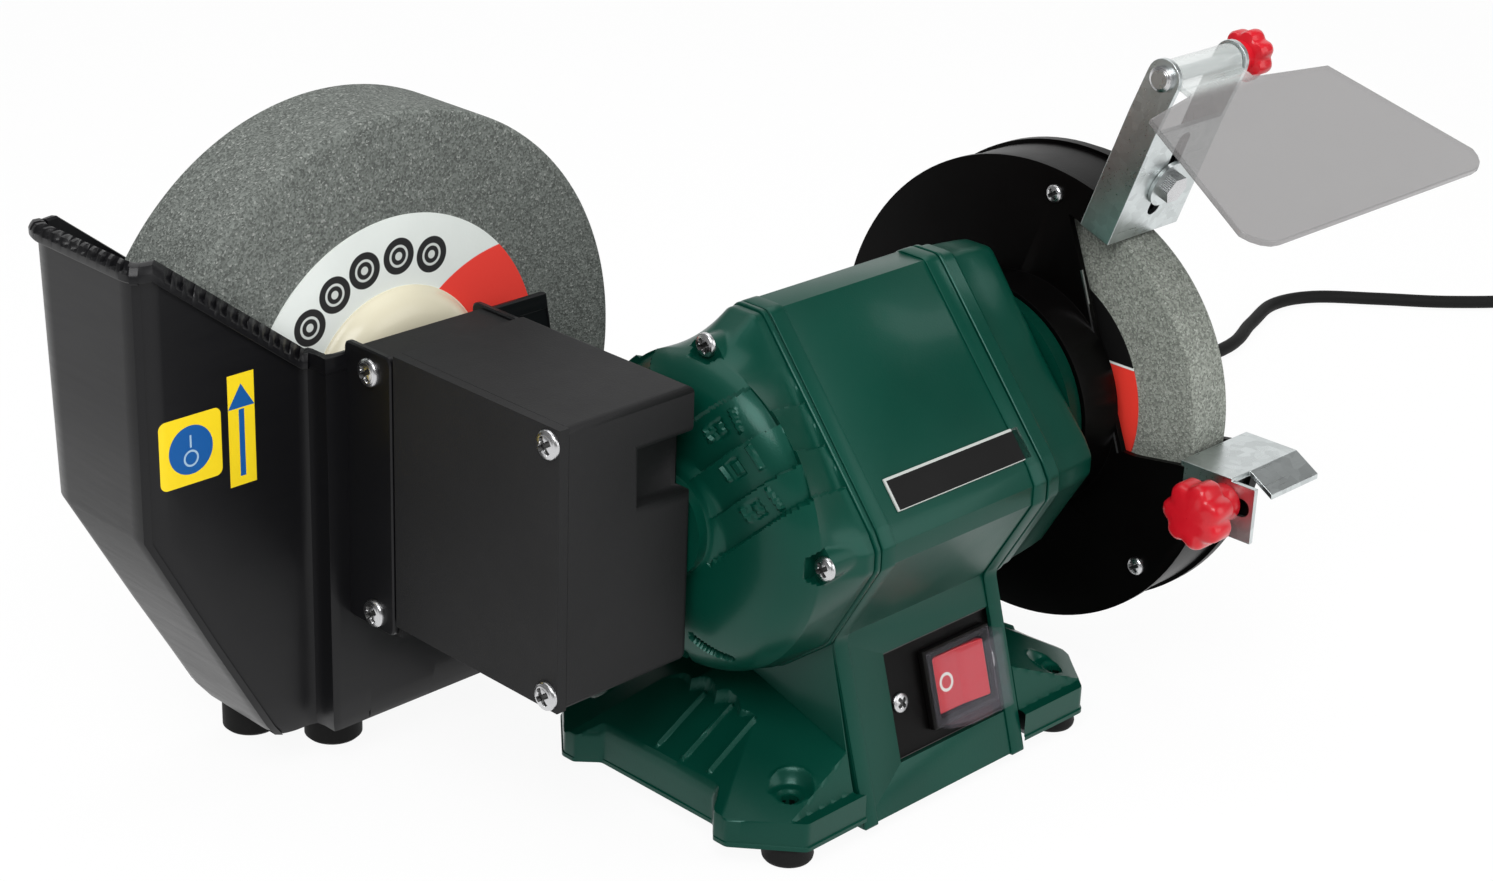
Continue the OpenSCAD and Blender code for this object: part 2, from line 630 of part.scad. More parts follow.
module switch_rocker() {
    color([0.75, 0.08, 0.08]) switch_frame() translate([rocker_x, 0, sw_z]) rotate([0, 0, -6])
        translate([0, 0, -rocker_h / 2]) linear_extrude(rocker_h)
            polygon([[-rocker_w / 2, -3], [0, -2], [rocker_w / 2, -3], [rocker_w / 2 - 1, 1], [4, 6], [-4, 6],
                [-rocker_w / 2 + 1, 1]]);
}
// Plain plate on the barrel's upper front face
module badge_plate() {
    badge_h = 12;
    face = [house_w - 9.5, house_h - 6];
    a = atan2(face[0], face[1]);
    color([0.12, 0.13, 0.13]) translate([0, -6, motor_z + house_h]) rotate([-a, 0, 0])
        box([rim_l + 13, -0.8, -norm(face) + 2.5], [rim_r - 3, 0, -norm(face) + 2.5 + badge_h]);
}

// --- Gearbox -------------------------------------------------------------------------------------
module gearbox_case() {
    y0 = -gear_front;
    color([0.16, 0.16, 0.17]) difference() {
        union() {
            difference() {
                box([gear_l + cover_t, y0, gear_z0], [gear_r, gear_back, gear_z1]);
                box([gear_l, y0 + gear_t, gear_z0 + gear_t],
                    [gear_r - gear_t, gear_back - gear_t, gear_z1 - gear_t]);
            }
            // Web inside that carries the front bushing
            box([gear_l + boss_len + 1, web_y, gear_z0 + 1], [gear_r - 1, web_y + web_t, gear_z1 - 1]);
            // Neck that carries the rear bushing and the trough
            difference() {
                box([gear_l + neck_inset, gear_back - eps, neck_z0],
                    [gear_r - neck_inset, neck_end, gear_z1 - 3]);
                box([gear_l + neck_inset + 5, gear_back + gear_t, neck_z0 + 5],
                    [gear_r - neck_inset - 5, neck_end + 1, gear_z1 - 7]);
            }
            ycyl(arbor_r + 7, gear_back - 6, neck_end);
            // Pocket in the front right edge, closed behind
            box([gear_r - pocket_w - 2, y0 + 1, motor_z + 16], [gear_r, y0 + pocket_d + 1.5, motor_z + 40]);
        }
        ycyl(bush_r, web_y - 1, web_y + web_t + 1);
        ycyl(bush_r, gear_back - 4, neck_end + 1);
        ycyl(arbor_r + 1, gear_back - 8, neck_end);
        xcyl(shaft_r + 2, gear_r - gear_t - 1, gear_r + 1);
        for (z = COVER_SCREWS) xcyl(screw_hole, gear_l, gear_l + 20, cover_screw_y, z);
        for (q = TROUGH_SCREWS) for (s = [0, 1])
            xcyl(screw_hole, s > 0 ? gear_r - 14 : gear_l - 1, s > 0 ? gear_r + 1 : gear_l + 14, q[0], q[1]);
        box([gear_r - pocket_w, y0 - 1, motor_z + 17.5], [gear_r + 1, y0 + pocket_d, motor_z + 38]);
    }
}
module gearbox_cover() {
    y0 = -gear_front;
    color([0.15, 0.15, 0.16]) difference() {
        union() {
            box([gear_l, y0, gear_z0], [gear_l + cover_t, gear_back, gear_z1]);
            xcyl(11, gear_l + 1, gear_l + boss_len);
        }
        xcyl(8, gear_l + boss_len - 5.5, gear_l + boss_len + 1);
        xcyl(4.5, gear_l + boss_len - 8, gear_l + boss_len + 1);
        for (z = COVER_SCREWS) xcyl(screw_hole, gear_l - 1, gear_l + 20, cover_screw_y, z);
    }
}
module gearbox_screws() {
    color([0.75, 0.76, 0.78]) for (z = COVER_SCREWS) xscrew(gear_l - head_h, cover_screw_y, z, 5, screw_r, 16);
}
module arbor_bushings() {
    color([0.72, 0.55, 0.25]) for (y = [[web_y, web_y + web_t], [gear_back - 4, neck_end]]) difference() {
        ycyl(bush_r, y[0], y[1]);
        ycyl(arbor_r + run_c, y[0] - 1, y[1] + 1);
    }
}
module worm_bearing() {
    color([0.70, 0.71, 0.73]) difference() {
        xcyl(8, gear_l + boss_len - 5.5, gear_l + boss_len - 0.5);
        xcyl(2.5 + run_c, gear_l + boss_len - 6, gear_l + boss_len);
    }
}

// --- Trough --------------------------------------------------------------------------------------
// Outline of the trough from the front, and of the hollow in it
function trough_side() = [[tr_l, arbor_z + left_rim], [tr_l, slope_z], [tr_l + slope_w, tr_z0],
    [tr_r - slope_w, tr_z0], [tr_r, slope_z], [tr_r, low_rim], [tr_mid + 8, low_rim],
    [tr_mid, arbor_z + mid_rim],
    [tr_step - 2, arbor_z + mid_rim], [tr_l + 7, arbor_z + left_rim]];
function trough_hollow() = let (w = trough_t, up = 60) [[tr_l + w, arbor_z + left_rim + up],
    [tr_l + w, slope_z + 0.6 * w], [tr_l + slope_w + 0.6 * w, tr_z0 + w], [tr_r - slope_w - 0.6 * w, tr_z0 + w],
    [tr_r - w, slope_z + 0.6 * w], [tr_r - w, arbor_z + left_rim + up]];
// Front and back walls in Y and Z; the back wall leans outwards
function trough_end(y0, w) = let (b = tr_back - w) [[y0 + w, tr_z0 - 9],
    [b + draft * (tr_z0 - 9 - arbor_z), tr_z0 - 9], [b + draft * 140, arbor_z + 140], [y0 + w, arbor_z + 140]];
module trough_block(w, x0, x1, y0) {
    intersection() {
        along_y(tr_fc - 20, tr_back + 30) polygon(w > 0 ? trough_hollow() : trough_side());
        along_x(x0, x1) polygon(trough_end(y0, w));
    }
}
module water_trough() {
    color([0.08, 0.08, 0.09]) difference() {
        union() {
            trough_block(0, tr_l, tr_step + eps, tr_fb);
            trough_block(0, tr_step, tr_r, tr_fc);
            // Ears that grip the gearbox's neck
            for (x = [gear_l, gear_r - neck_inset])
                box([x, EAR_Y[0], gear_z0 - 5], [x + neck_inset, EAR_Y[1], gear_z1 - 1.5]);
            // Thicker rims
            box([tr_l - 2, tr_fb, arbor_z + left_rim - 6],
                [tr_l + eps, tr_back + draft * left_rim, arbor_z + left_rim]);
            box([tr_mid - 9, tr_fc - 3, arbor_z + mid_rim - 6], [tr_mid, tr_fc + eps, arbor_z + mid_rim]);
        }
        trough_block(trough_t, tr_l, tr_step + trough_t, tr_fb);
        trough_block(trough_t, tr_step + trough_t, tr_r, tr_fc);
        // Notches for the arbor
        box([arbor_x - notch_w, tr_fc - 20, notch_z], [arbor_x + notch_w, tr_fc + 6, arbor_z + 140]);
        box([arbor_x - notch_w, tr_back - 12, notch_z], [arbor_x + notch_w, tr_back + 30, arbor_z + 140]);
        for (q = TROUGH_SCREWS) xcyl(screw_hole, gear_l - 1, gear_l + neck_inset + 1, q[0], q[1]);
        for (q = TROUGH_SCREWS) xcyl(screw_hole, gear_r - neck_inset - 1, gear_r + 1, q[0], q[1]);
    }
}
module trough_screws() {
    color([0.80, 0.81, 0.83]) for (q = TROUGH_SCREWS) {
        xscrew(gear_l - head_h, q[0], q[1], 5, screw_r, 12);
        mirror([1, 0, 0]) xscrew(-gear_r - head_h, q[0], q[1], 5, screw_r, 12);
    }
}
module trough_feet() {
    color([0.05, 0.05, 0.05]) for (q = TROUGH_FEET) translate([q[0], q[1], 0]) rotate_extrude()
        polygon([[0, 0], [9.5, 0], [10.5, 1], [10.5, tr_z0 - 6], [8, tr_z0 - 3], [8, tr_z0], [0, tr_z0]]);
}

// --- Guard ---------------------------------------------------------------------------------------
// Part of the guard's side plates that is cut away, in Y and Z from the motor axis: along the spark guard
// bracket's front plate, then down a chord to the tool rest
function by_bracket(n, t) = [br_y + n * cos(lean) - t * sin(lean),
    br_z - motor_z + n * sin(lean) + t * cos(lean)];
function side_cut() = [by_bracket(tab_n, 60), by_bracket(tab_n, -1), by_bracket(tab_n + 19, -1),
    [-50, side_low - 3], [-56, side_low - 3], [rest_y + 3, side_low], [-130, side_low], [-130, 118]];
module guard_opening(r) {
    translate([0, motor_z]) polygon(concat([[0, 0]],
        [for (a = [94, 75, 50, open_a - 3.5]) r * [-sin(a), cos(a)]]));
}
module guard_band(x0, x1, ri, ro) {
    along_x(x0, x1) difference() {
        translate([0, motor_z]) circle(ro, $fn = 96);
        translate([0, motor_z]) circle(ri, $fn = 96);
        guard_opening(2 * ro);
    }
}
module guard_side(x0, x1, r) {
    along_x(x0, x1) difference() {
        translate([0, motor_z]) circle(r, $fn = 96);
        translate([0, motor_z]) polygon(side_cut());
        translate([0, motor_z]) circle(shaft_hole_r);
    }
}
// Holes for the screws that clamp the cover to the near plate
module guard_holes(x0, x1) {
    for (a = GUARD_SCREWS)
        xcyl(screw_hole, x0, x1, -guard_screw_r * sin(a), motor_z + guard_screw_r * cos(a));
}
// Frame of the spark guard bracket: Y into the guard, Z up the front plate
module bracket_frame() { translate([0, br_y, br_z]) rotate([lean, 0, 0]) children(); }
module wheel_guard() {
    lug_y = rest_bolt_y - 9;
    color([0.04, 0.04, 0.05]) difference() {
        union() {
            guard_side(guard_l, guard_l + guard_t, guard_ro);
            guard_band(guard_l + guard_t / 2, ring_r, guard_ri - 1, guard_ro - 1);
            guard_band(ring_l, ring_r, guard_ri - 1, ring_ro);
            // Hub that stands off the end bell
            difference() {
                xcyl(guard_hub_r, bell_r, guard_l + guard_t / 2);
                xcyl(guard_hub_in, bell_r + guard_t, guard_l - 1);
            }
            // Lug for the tool rest, and tab for the spark guard
            box([guard_l, lug_y, rest_bolt_z - 12], [guard_l + guard_t, rest_y + 6, rest_bolt_z + 5.5]);
            bracket_frame() box([guard_l + 1, tab_n + 0.2, 8],
                [guard_r - guard_t - hole_c, tab_n + 3, bolt_t + 11]);
        }
        xcyl(shaft_hole_r, bell_r - 1, guard_l + guard_t + 1);
        hub_holes(bell_r - 1, bell_r + guard_t + 1);
        xcyl(m6_r + hole_c, guard_l - 1, guard_l + guard_t + 1, rest_bolt_y, rest_bolt_z);
        bracket_frame() ycyl(m6_r + hole_c, 0, tab_n + 5, br_mid, bolt_t);
        guard_holes(guard_l - 1, ring_r + 1);
    }
}
module guard_cover() {
    color([0.04, 0.04, 0.05]) difference() {
        union() {
            guard_band(ring_r, guard_r - eps, guard_ri - 1, guard_ro - 1.5);
            difference() {
                guard_side(guard_r - guard_t, guard_r, guard_ro - 1.5);
                xcyl(dome_base_r - 2, guard_r - guard_t - 1, guard_r + 1);
            }
            difference() {
                xcyl(dome_base_r, guard_r - guard_t, dome_r, r2 = dome_top_r);
                xcyl(dome_base_r - 2, guard_r - guard_t - 1, dome_r - 2, r2 = dome_top_r - 2);
            }
        }
        bracket_frame() box([ring_r - 1, tab_n - 3, 0], [guard_r - guard_t, tab_n + 4, bolt_t + 15]);
        guard_holes(guard_r - guard_t - 1, guard_r + 1);
    }
}
// Long screws that clamp the cover to the near plate
module guard_screws() {
    color([0.70, 0.71, 0.73]) for (a = GUARD_SCREWS) {
        y = -guard_screw_r * sin(a);
        z = motor_z + guard_screw_r * cos(a);
        xscrew(guard_l - head_h, y, z, 3.4, screw_r, guard_r - guard_l + 2);
        xcyl(3.4, guard_r, guard_r + 2, y, z);
    }
    // Short screws from inside the guard's hub into the end bell
    color([0.70, 0.71, 0.73]) for (a = HUB_SCREWS) translate([0, hub_screw_r * cos(a), hub_screw_r * sin(a)])
        mirror([1, 0, 0]) xscrew(-bell_r - guard_t - head_h, 0, motor_z, 3.4, screw_r, guard_t + shell_t + 4);
}
module rest_bolt() {
    color([0.70, 0.71, 0.73]) {
        xcyl(m6_r, guard_l - 21, guard_l + guard_t + 1, rest_bolt_y, rest_bolt_z);
        xcyl(5.5, guard_l + guard_t, guard_l + guard_t + 2.5, rest_bolt_y, rest_bolt_z);
    }
}
module spark_bolt() {
    color([0.75, 0.76, 0.78]) bracket_frame() {
        translate([br_mid, -1.5 - slide_c, bolt_t]) rotate([90, 0, 0]) cylinder(r = 5.6, h = 4, $fn = 6);
        ycyl(m6_r, -2, tab_n + 9, br_mid, bolt_t);
        translate([br_mid, tab_n + 8, bolt_t]) rotate([90, 0, 0]) cylinder(r = 5.6, h = 5, $fn = 6);
    }
}
module spark_washer() {
    color([0.78, 0.80, 0.80]) bracket_frame() difference() {
        ycyl(9, -1.5 - slide_c, -slide_c, br_mid, bolt_t);
        ycyl(m6_r, -3, 1, br_mid, bolt_t);
    }
}

// --- Cord ----------------------------------------------------------------------------------------
// Gland's frame: Z out of the pedestal's back
module gland_frame() { translate([gland_x, gland_y, gland_z]) rotate([ped_a - 90, 0, 0]) children(); }
module cord_gland() {
    color([0.06, 0.06, 0.06]) gland_frame() rotate_extrude()
        polygon([[0, -shell_t - 1], [gland_r, -shell_t - 1], [gland_r, 0], [gland_r + 2.5, 0],
            [gland_r + 2.5, 6], [gland_r + 1, 8], [cord_r + 0.8, gland_len], [0, gland_len]]);
}
module cord_lead() { color([0.05, 0.05, 0.05]) tube(spline(LEAD, 4), cord_r); }
module cord_tail() { color([0.05, 0.05, 0.05]) tube(spline(TAIL, 4), cord_r); }
module cord_coil() {
    color([0.06, 0.06, 0.06]) translate([coil_x, coil_y, 0]) rotate_extrude()
        polygon(rounded([[coil_mid - cord_d, 0.1], [coil_mid + cord_d, 0.1], [coil_mid + cord_d, coil_h],
            [coil_mid - cord_d, coil_h]], 2.5));
}
module plug_body() {
    color([0.06, 0.06, 0.06]) translate([plug_x, plug_y, plug_z]) rotate([0, 90, 0]) rotate_extrude()
        polygon([[0, 0], [5, 0], [7, 14], [12, 20], [15, 26], [16, 40], [18.5, 41], [18.5, 50], [0, 50]]);
}
module plug_pins() {
    color([0.78, 0.79, 0.80]) for (s = [-1, 1]) xcyl(2.4, plug_x + 50, plug_x + 69, plug_y + 9.5 * s, plug_z);
}

// --- Rotor ---------------------------------------------------------------------------------------
module rotor_shaft() {
    worm_end = gear_l + boss_len - 5.5;
    color([0.70, 0.71, 0.73]) translate([0, 0, motor_z]) rotate([0, 90, 0]) rotate_extrude()
        polygon([[0, worm_end], [2.5, worm_end], [2.5, worm_end + 5.5], [4, worm_end + 5.5], [4, gear_r - 4],
            [5.5, gear_r - 4], [5.5, brg_l], [shaft_r, brg_l], [shaft_r, brg_l + brg_w + 1],
            [shaft_r + 1.5, brg_l + brg_w + 1], [shaft_r + 1.5, brg_rx - 1], [shaft_r, brg_rx - 1],
            [shaft_r, shoulder], [dry_bore_r, shoulder], [dry_bore_r, shaft_end], [0, shaft_end]]);
}
module rotor_core() {
    color([0.50, 0.51, 0.53]) difference() {
        xcyl(rotor_r, stator_l - 1, stator_l + stator_len + 1);
        xcyl(shaft_r + 1.5, stator_l - 2, stator_l + stator_len + 2);
    }
}
module cooling_fan() {
    x0 = stator_l + stator_len + wind_len + 3;
    color([0.15, 0.15, 0.15]) difference() {
        union() {
            xcyl(14, x0, x0 + 8);
            xcyl(34, x0, x0 + 1.5);
            for (i = [0:8]) translate([x0, 0, motor_z]) rotate([i * 40, 0, 0])
                box([0.5, -0.8, 12.5], [7, 0.8, 32]);
        }
        xcyl(shaft_r + 1.5, x0 - 1, x0 + 9);
    }
}
// The worm's thread and the wheel's teeth stop short of mesh by a running gap
module worm() {
    pitch = gear_m * PI;
    r = worm_r - mesh_gap;
    color([0.62, 0.63, 0.65]) difference() {
        union() {
            xcyl(r - 1, arbor_x - 12, arbor_x + 12);
            for (i = [-2:2]) xcyl(r, arbor_x + i * pitch - 0.5, arbor_x + i * pitch + 0.5);
        }
        xcyl(4, arbor_x - 13, arbor_x + 13);
    }
}
module dry_wheel() {
    color([0.52, 0.54, 0.52]) difference() {
        xcyl(dry_d / 2, dry_x, dry_x + dry_w, $fn = 96);
        xcyl(dry_bore_r, dry_x - 1, dry_x + dry_w + 1);
    }
}
module dry_wheel_label() {
    color([0.80, 0.08, 0.08]) difference() {
        xcyl(dry_d / 3, dry_x - label_t, dry_x);
        xcyl(dry_bore_r, dry_x - 1, dry_x + 1);
    }
}
module inner_flange() {
    color([0.60, 0.61, 0.63]) difference() {
        xcyl(flange_r, shoulder, dry_x - label_t);
        xcyl(dry_bore_r, dry_x - 5, dry_x);
    }
}
module outer_flange() {
    x = dry_x + dry_w;
    color([0.60, 0.61, 0.63]) difference() {
        xcyl(flange_r, x, x + flange_t);
        xcyl(dry_bore_r, x - 1, x + 4);
    }
}
module wheel_nut() {
    x = dry_x + dry_w + flange_t;
    color([0.66, 0.67, 0.69]) difference() {
        translate([x, 0, motor_z]) rotate([0, 90, 0]) cylinder(r = 11, h = 7, $fn = 6);
        xcyl(dry_bore_r, x - 1, x + 8);
    }
}

// --- Wet arbor -----------------------------------------------------------------------------------
module arbor_shaft() {
    color([0.70, 0.71, 0.73]) {
        ycyl(arbor_r, -worm_wheel_w / 2, wet_back + 17);
        ycyl(bush_r, neck_end + 0.8, hub_y);
    }
}
function wheel_teeth() = let (rp = gear_m * gear_n / 2 - mesh_gap, w = 90 / gear_n) [for (i = [0:gear_n - 1])
    for (q = [[-1.5, -1], [-0.6, 0], [0.6, 0], [1.5, -1]]) let (a = i * 360 / gear_n + q[0] * w, r = rp + q[1])
        [r * cos(a), r * sin(a)]];
module worm_wheel() {
    color([0.72, 0.55, 0.25]) difference() {
        translate([arbor_x, worm_wheel_w / 2, arbor_z]) rotate([90, 0, 0])
            linear_extrude(worm_wheel_w) polygon(wheel_teeth());
        ycyl(arbor_r, -worm_wheel_w, worm_wheel_w);
    }
}
module wet_wheel() {
    color([0.42, 0.43, 0.43]) difference() {
        ycyl(wet_d / 2, wet_y, wet_back, $fn = 96);
        ycyl(wet_bore_r, wet_y - 1, wet_back + 1);
    }
}
module wet_wheel_label() {
    color([0.88, 0.90, 0.88]) difference() {
        ycyl(wet_d * 0.3175, wet_y - label_t, wet_y);
        ycyl(hub_r, wet_y - 1, wet_y + 1);
    }
}
module front_hub() {
    color([0.92, 0.89, 0.78]) translate([arbor_x, 0, arbor_z]) rotate([-90, 0, 0]) rotate_extrude()
        polygon([[arbor_r, hub_y], [hub_r - 10, hub_y], [hub_r - 4, hub_y + 3], [hub_r - 1, hub_y + 7],
            [hub_r, wet_y], [wet_bore_r, wet_y], [wet_bore_r, wet_y + spigot], [arbor_r, wet_y + spigot]]);
}
module back_hub() {
    color([0.92, 0.89, 0.78]) translate([arbor_x, 0, arbor_z]) rotate([-90, 0, 0]) rotate_extrude()
        polygon([[arbor_r, wet_back - spigot], [wet_bore_r, wet_back - spigot], [wet_bore_r, wet_back],
            [hub_r - 10, wet_back], [hub_r - 10, wet_back + 3], [arbor_r, wet_back + 3]]);
}
module arbor_nut() {
    color([0.70, 0.71, 0.73]) difference() {
        translate([arbor_x, wet_back + 11, arbor_z]) rotate([90, 0, 0]) cylinder(r = 10.5, h = 8, $fn = 6);
        ycyl(arbor_r, wet_back + 2, wet_back + 12);
    }
}

// --- Spark guard bracket and eye shield ----------------------------------------------------------
function ear_outline() = concat([[0, 0], [flange_d, 0], [flange_d, plate_len + 2.5]],
    arc(hinge_n, hinge_t, ear_r, 0, 180, 12), [[0, plate_len]]);
module spark_bracket() {
    slot_r = m6_r + 0.3;
    t0 = bolt_t - spark_travel - 1;
    t1 = bolt_t + 18;
    color([0.72, 0.75, 0.75]) bracket_frame() difference() {
        union() {
            box([br_l, 0, 0], [br_r, sheet_t, plate_len]);
            for (x = [br_l, br_r - sheet_t]) along_x(x, x + sheet_t) polygon(ear_outline());
        }
        for (t = [t0, t1]) ycyl(slot_r, -1, sheet_t + 1, br_mid, t);
        box([br_mid - slot_r, -1, t0], [br_mid + slot_r, sheet_t + 1, t1]);
        xcyl(hinge_r + hole_c, br_l - 1, br_r + 1, hinge_n, hinge_t);
    }
}
module hinge_bolt() {
    color([0.75, 0.76, 0.78]) bracket_frame() {
        xscrew(br_l - head_h, hinge_n, hinge_t, 4.6, hinge_r, br_r - br_l + 11);
    }
}
module eye_shield() {
    w = shield_w / 2;
    r = shield_round;
    neck = br_r - sheet_t - br_mid - slide_c - 0.3;
    near_y = -ear_r - 4.5;
    color([0.70, 0.72, 0.72, 0.5]) bracket_frame() translate([0, hinge_n, hinge_t]) rotate([droop, 0, 0])
        difference() {
            union() {
                xcyl(shield_eye_r, br_mid - neck, br_mid + neck, 0, 0);
                translate([br_mid, 0, -shield_t / 2]) linear_extrude(shield_t)
                    polygon(concat([[-neck, 0], [-neck, near_y], [-w + 18 + shield_off, near_y - 5]],
                        arc(-w + r + shield_off, -shield_len + r, r, 195, 270, 4),
                        arc(w - r + shield_off, -shield_len + r, r, -90, -15, 4),
                        [[w - 18 + shield_off, near_y - 5], [neck, near_y], [neck, 0]]));
            }
            xcyl(hinge_r + run_c, br_l, br_r, 0, 0);
        }
}
module shield_knob() {
    d = 19;
    x0 = br_r + 0.5;
    color([0.78, 0.08, 0.12]) bracket_frame() difference() {
        union() {
            xcyl(6, x0, x0 + 4, hinge_n, hinge_t);
            lobed_knob(d, 9, x0 + 4, hinge_n, hinge_t);
        }
        xcyl(hinge_r + run_c, x0 - 1, br_r + 11.5, hinge_n, hinge_t);
    }
}

// --- Tool rest -----------------------------------------------------------------------------------
module tool_rest() {
    x1 = rest_x + rest_w;
    y1 = rest_y - rest_d;
    slot_r = m6_r + 0.3;
    low = rest_bolt_z - 12.5;
    color([0.72, 0.75, 0.75]) difference() {
        union() {
            box([rest_x, y1, rest_z - sheet_t], [x1, rest_y, rest_z]);
            box([rest_x, rest_bolt_y - 12, low], [rest_x + sheet_t, rest_y - 1.5, rest_z - sheet_t / 2]);
            // Lip that bends down at the front
            along_x(rest_x + 11, x1) polygon([[y1 + sheet_t, rest_z], [y1, rest_z], [y1 - 10, rest_z - 6],
                [y1 - 10, rest_z - 6 - sheet_t], [y1, rest_z - sheet_t], [y1 + sheet_t, rest_z - sheet_t]]);
        }
        for (y = [rest_bolt_y - 7, rest_bolt_y + rest_out + 0.5])
            xcyl(slot_r, rest_x - 1, rest_x + sheet_t + 1, y, rest_bolt_z);
        box([rest_x - 1, rest_bolt_y - 7, rest_bolt_z - slot_r],
            [rest_x + sheet_t + 1, rest_bolt_y + rest_out + 0.5, rest_bolt_z + slot_r]);
    }
}
module rest_knob() {
    x1 = rest_x - slide_c;
    color([0.78, 0.08, 0.12]) difference() {
        union() {
            xcyl(7, x1 - 10, x1, rest_bolt_y, rest_bolt_z);
            lobed_knob(knob_d, 12, x1 - 22, rest_bolt_y, rest_bolt_z);
        }
        xcyl(m6_r + run_c, guard_l - 21.2, x1 + 1, rest_bolt_y, rest_bolt_z);
    }
}

motor_barrel();
left_end_bell();
right_end_bell();
base_plate();
base_feet();
bell_screws();
stator_core();
stator_windings();
left_bearing();
right_bearing();
run_capacitor();
terminal_block();
switch_plate();
switch_body();
switch_cap();
switch_screws();
badge_plate();
gearbox_case();
gearbox_cover();
gearbox_screws();
arbor_bushings();
worm_bearing();
water_trough();
trough_screws();
trough_feet();
wheel_guard();
guard_cover();
guard_screws();
rest_bolt();
spark_bolt();
spark_washer();
cord_gland();
cord_lead();
cord_coil();
cord_tail();
plug_body();
plug_pins();
rotor_shaft();
rotor_core();
cooling_fan();
worm();
dry_wheel();
dry_wheel_label();
inner_flange();
outer_flange();
wheel_nut();
arbor_shaft();
worm_wheel();
wet_wheel();
wet_wheel_label();
front_hub();
back_hub();
arbor_nut();
spark_bracket();
hinge_bolt();
eye_shield();
shield_knob();
tool_rest();
rest_knob();
switch_rocker();
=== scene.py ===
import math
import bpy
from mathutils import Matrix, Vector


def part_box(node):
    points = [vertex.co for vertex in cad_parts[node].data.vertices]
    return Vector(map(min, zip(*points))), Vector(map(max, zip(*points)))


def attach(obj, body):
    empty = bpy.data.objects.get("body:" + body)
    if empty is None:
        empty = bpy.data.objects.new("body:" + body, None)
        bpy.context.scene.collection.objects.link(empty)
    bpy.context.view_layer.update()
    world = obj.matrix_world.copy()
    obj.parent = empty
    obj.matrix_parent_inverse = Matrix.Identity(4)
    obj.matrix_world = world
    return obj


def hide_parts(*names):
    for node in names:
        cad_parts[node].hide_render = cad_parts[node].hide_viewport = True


bl_info = {
    "name": "Wet and Dry Bench Grinder",
    "version": (1, 0, 0),
    "blender": (4, 5, 0),
    "location": "3D View > Sidebar > Bench Grinder",
    "description": "Dresses the bench grinder's assembly with its finishes and fine forms",
    "category": "Object",
}

import bmesh
import bpy
import numpy as np
from mathutils import Matrix, Vector

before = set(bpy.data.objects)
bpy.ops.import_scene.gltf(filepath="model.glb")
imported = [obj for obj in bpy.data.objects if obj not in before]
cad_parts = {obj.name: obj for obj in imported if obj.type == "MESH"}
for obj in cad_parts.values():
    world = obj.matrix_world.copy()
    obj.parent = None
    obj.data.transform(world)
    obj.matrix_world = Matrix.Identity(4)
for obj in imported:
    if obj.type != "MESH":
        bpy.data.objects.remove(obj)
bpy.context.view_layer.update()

MM = 0.001


def low(node):
    """Lowest corner of a node, in millimetres."""
    return np.array(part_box(node)[0]) / MM


def high(node):
    """Highest corner of a node, in millimetres."""
    return np.array(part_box(node)[1]) / MM


# Stations that the pieces share, in millimetres
MOTOR_Z = float(low("dry_wheel")[2] + high("dry_wheel")[2]) / 2
ARBOR_X = float(low("wet_wheel")[0] + high("wet_wheel")[0]) / 2
ARBOR_Z = float(low("wet_wheel")[2] + high("wet_wheel")[2]) / 2
RIM_L = float(low("motor_barrel")[0])
RIM_R = float(high("motor_barrel")[0])
GEAR_R = float(high("gearbox_case")[0])
# The gearbox's body runs this far from its right side, and lies in front of this place in Y
BODY_LENGTH, BODY_FRONT = 51.0, 60.0
GUARD_L = float(low("dry_wheel")[0]) - 8.1


# --- Shader maths --------------------------------------------------------------------------------


class Term:
    """A shader socket that can stand in an expression; each operation adds its Math node."""

    def __init__(self, paint, socket):
        self.paint = paint
        self.socket = socket

    def _math(self, operation, *values):
        node = self.paint.node("ShaderNodeMath", {"operation": operation}, dict(enumerate(values)))
        return Term(self.paint, node.outputs[0])

    def __add__(self, other):
        return self._math("ADD", self, other)

    def __radd__(self, other):
        return self._math("ADD", other, self)

    def __sub__(self, other):
        return self._math("SUBTRACT", self, other)

    def __rsub__(self, other):
        return self._math("SUBTRACT", other, self)

    def __mul__(self, other):
        return self._math("MULTIPLY", self, other)

    def __rmul__(self, other):
        return self._math("MULTIPLY", other, self)

    def __pow__(self, other):
        return self._math("POWER", self, other)

    def __gt__(self, other):
        return self._math("GREATER_THAN", self, other)

    def __lt__(self, other):
        return self._math("LESS_THAN", self, other)

    def above(self, edge, blur):
        """0 below edge - blur, 1 above edge + blur, and a smooth ramp between."""
        node = self.paint.node(
            "ShaderNodeMapRange",
            {"interpolation_type": "SMOOTHSTEP"},
            {"Value": self, "From Min": edge - blur, "From Max": edge + blur, "To Min": 0.0, "To Max": 1.0},
        )
        return Term(self.paint, node.outputs[0])

    def below(self, edge, blur):
        """The reverse of above."""
        return 1 - self.above(edge, blur)

    def greater(self, other):
        """The larger of two values."""
        return self._math("MAXIMUM", self, other)

    def size(self):
        """The value without its sign."""
        return self._math("ABSOLUTE", self)

    def wave(self):
        """The sine of the value."""
        return self._math("SINE", self)


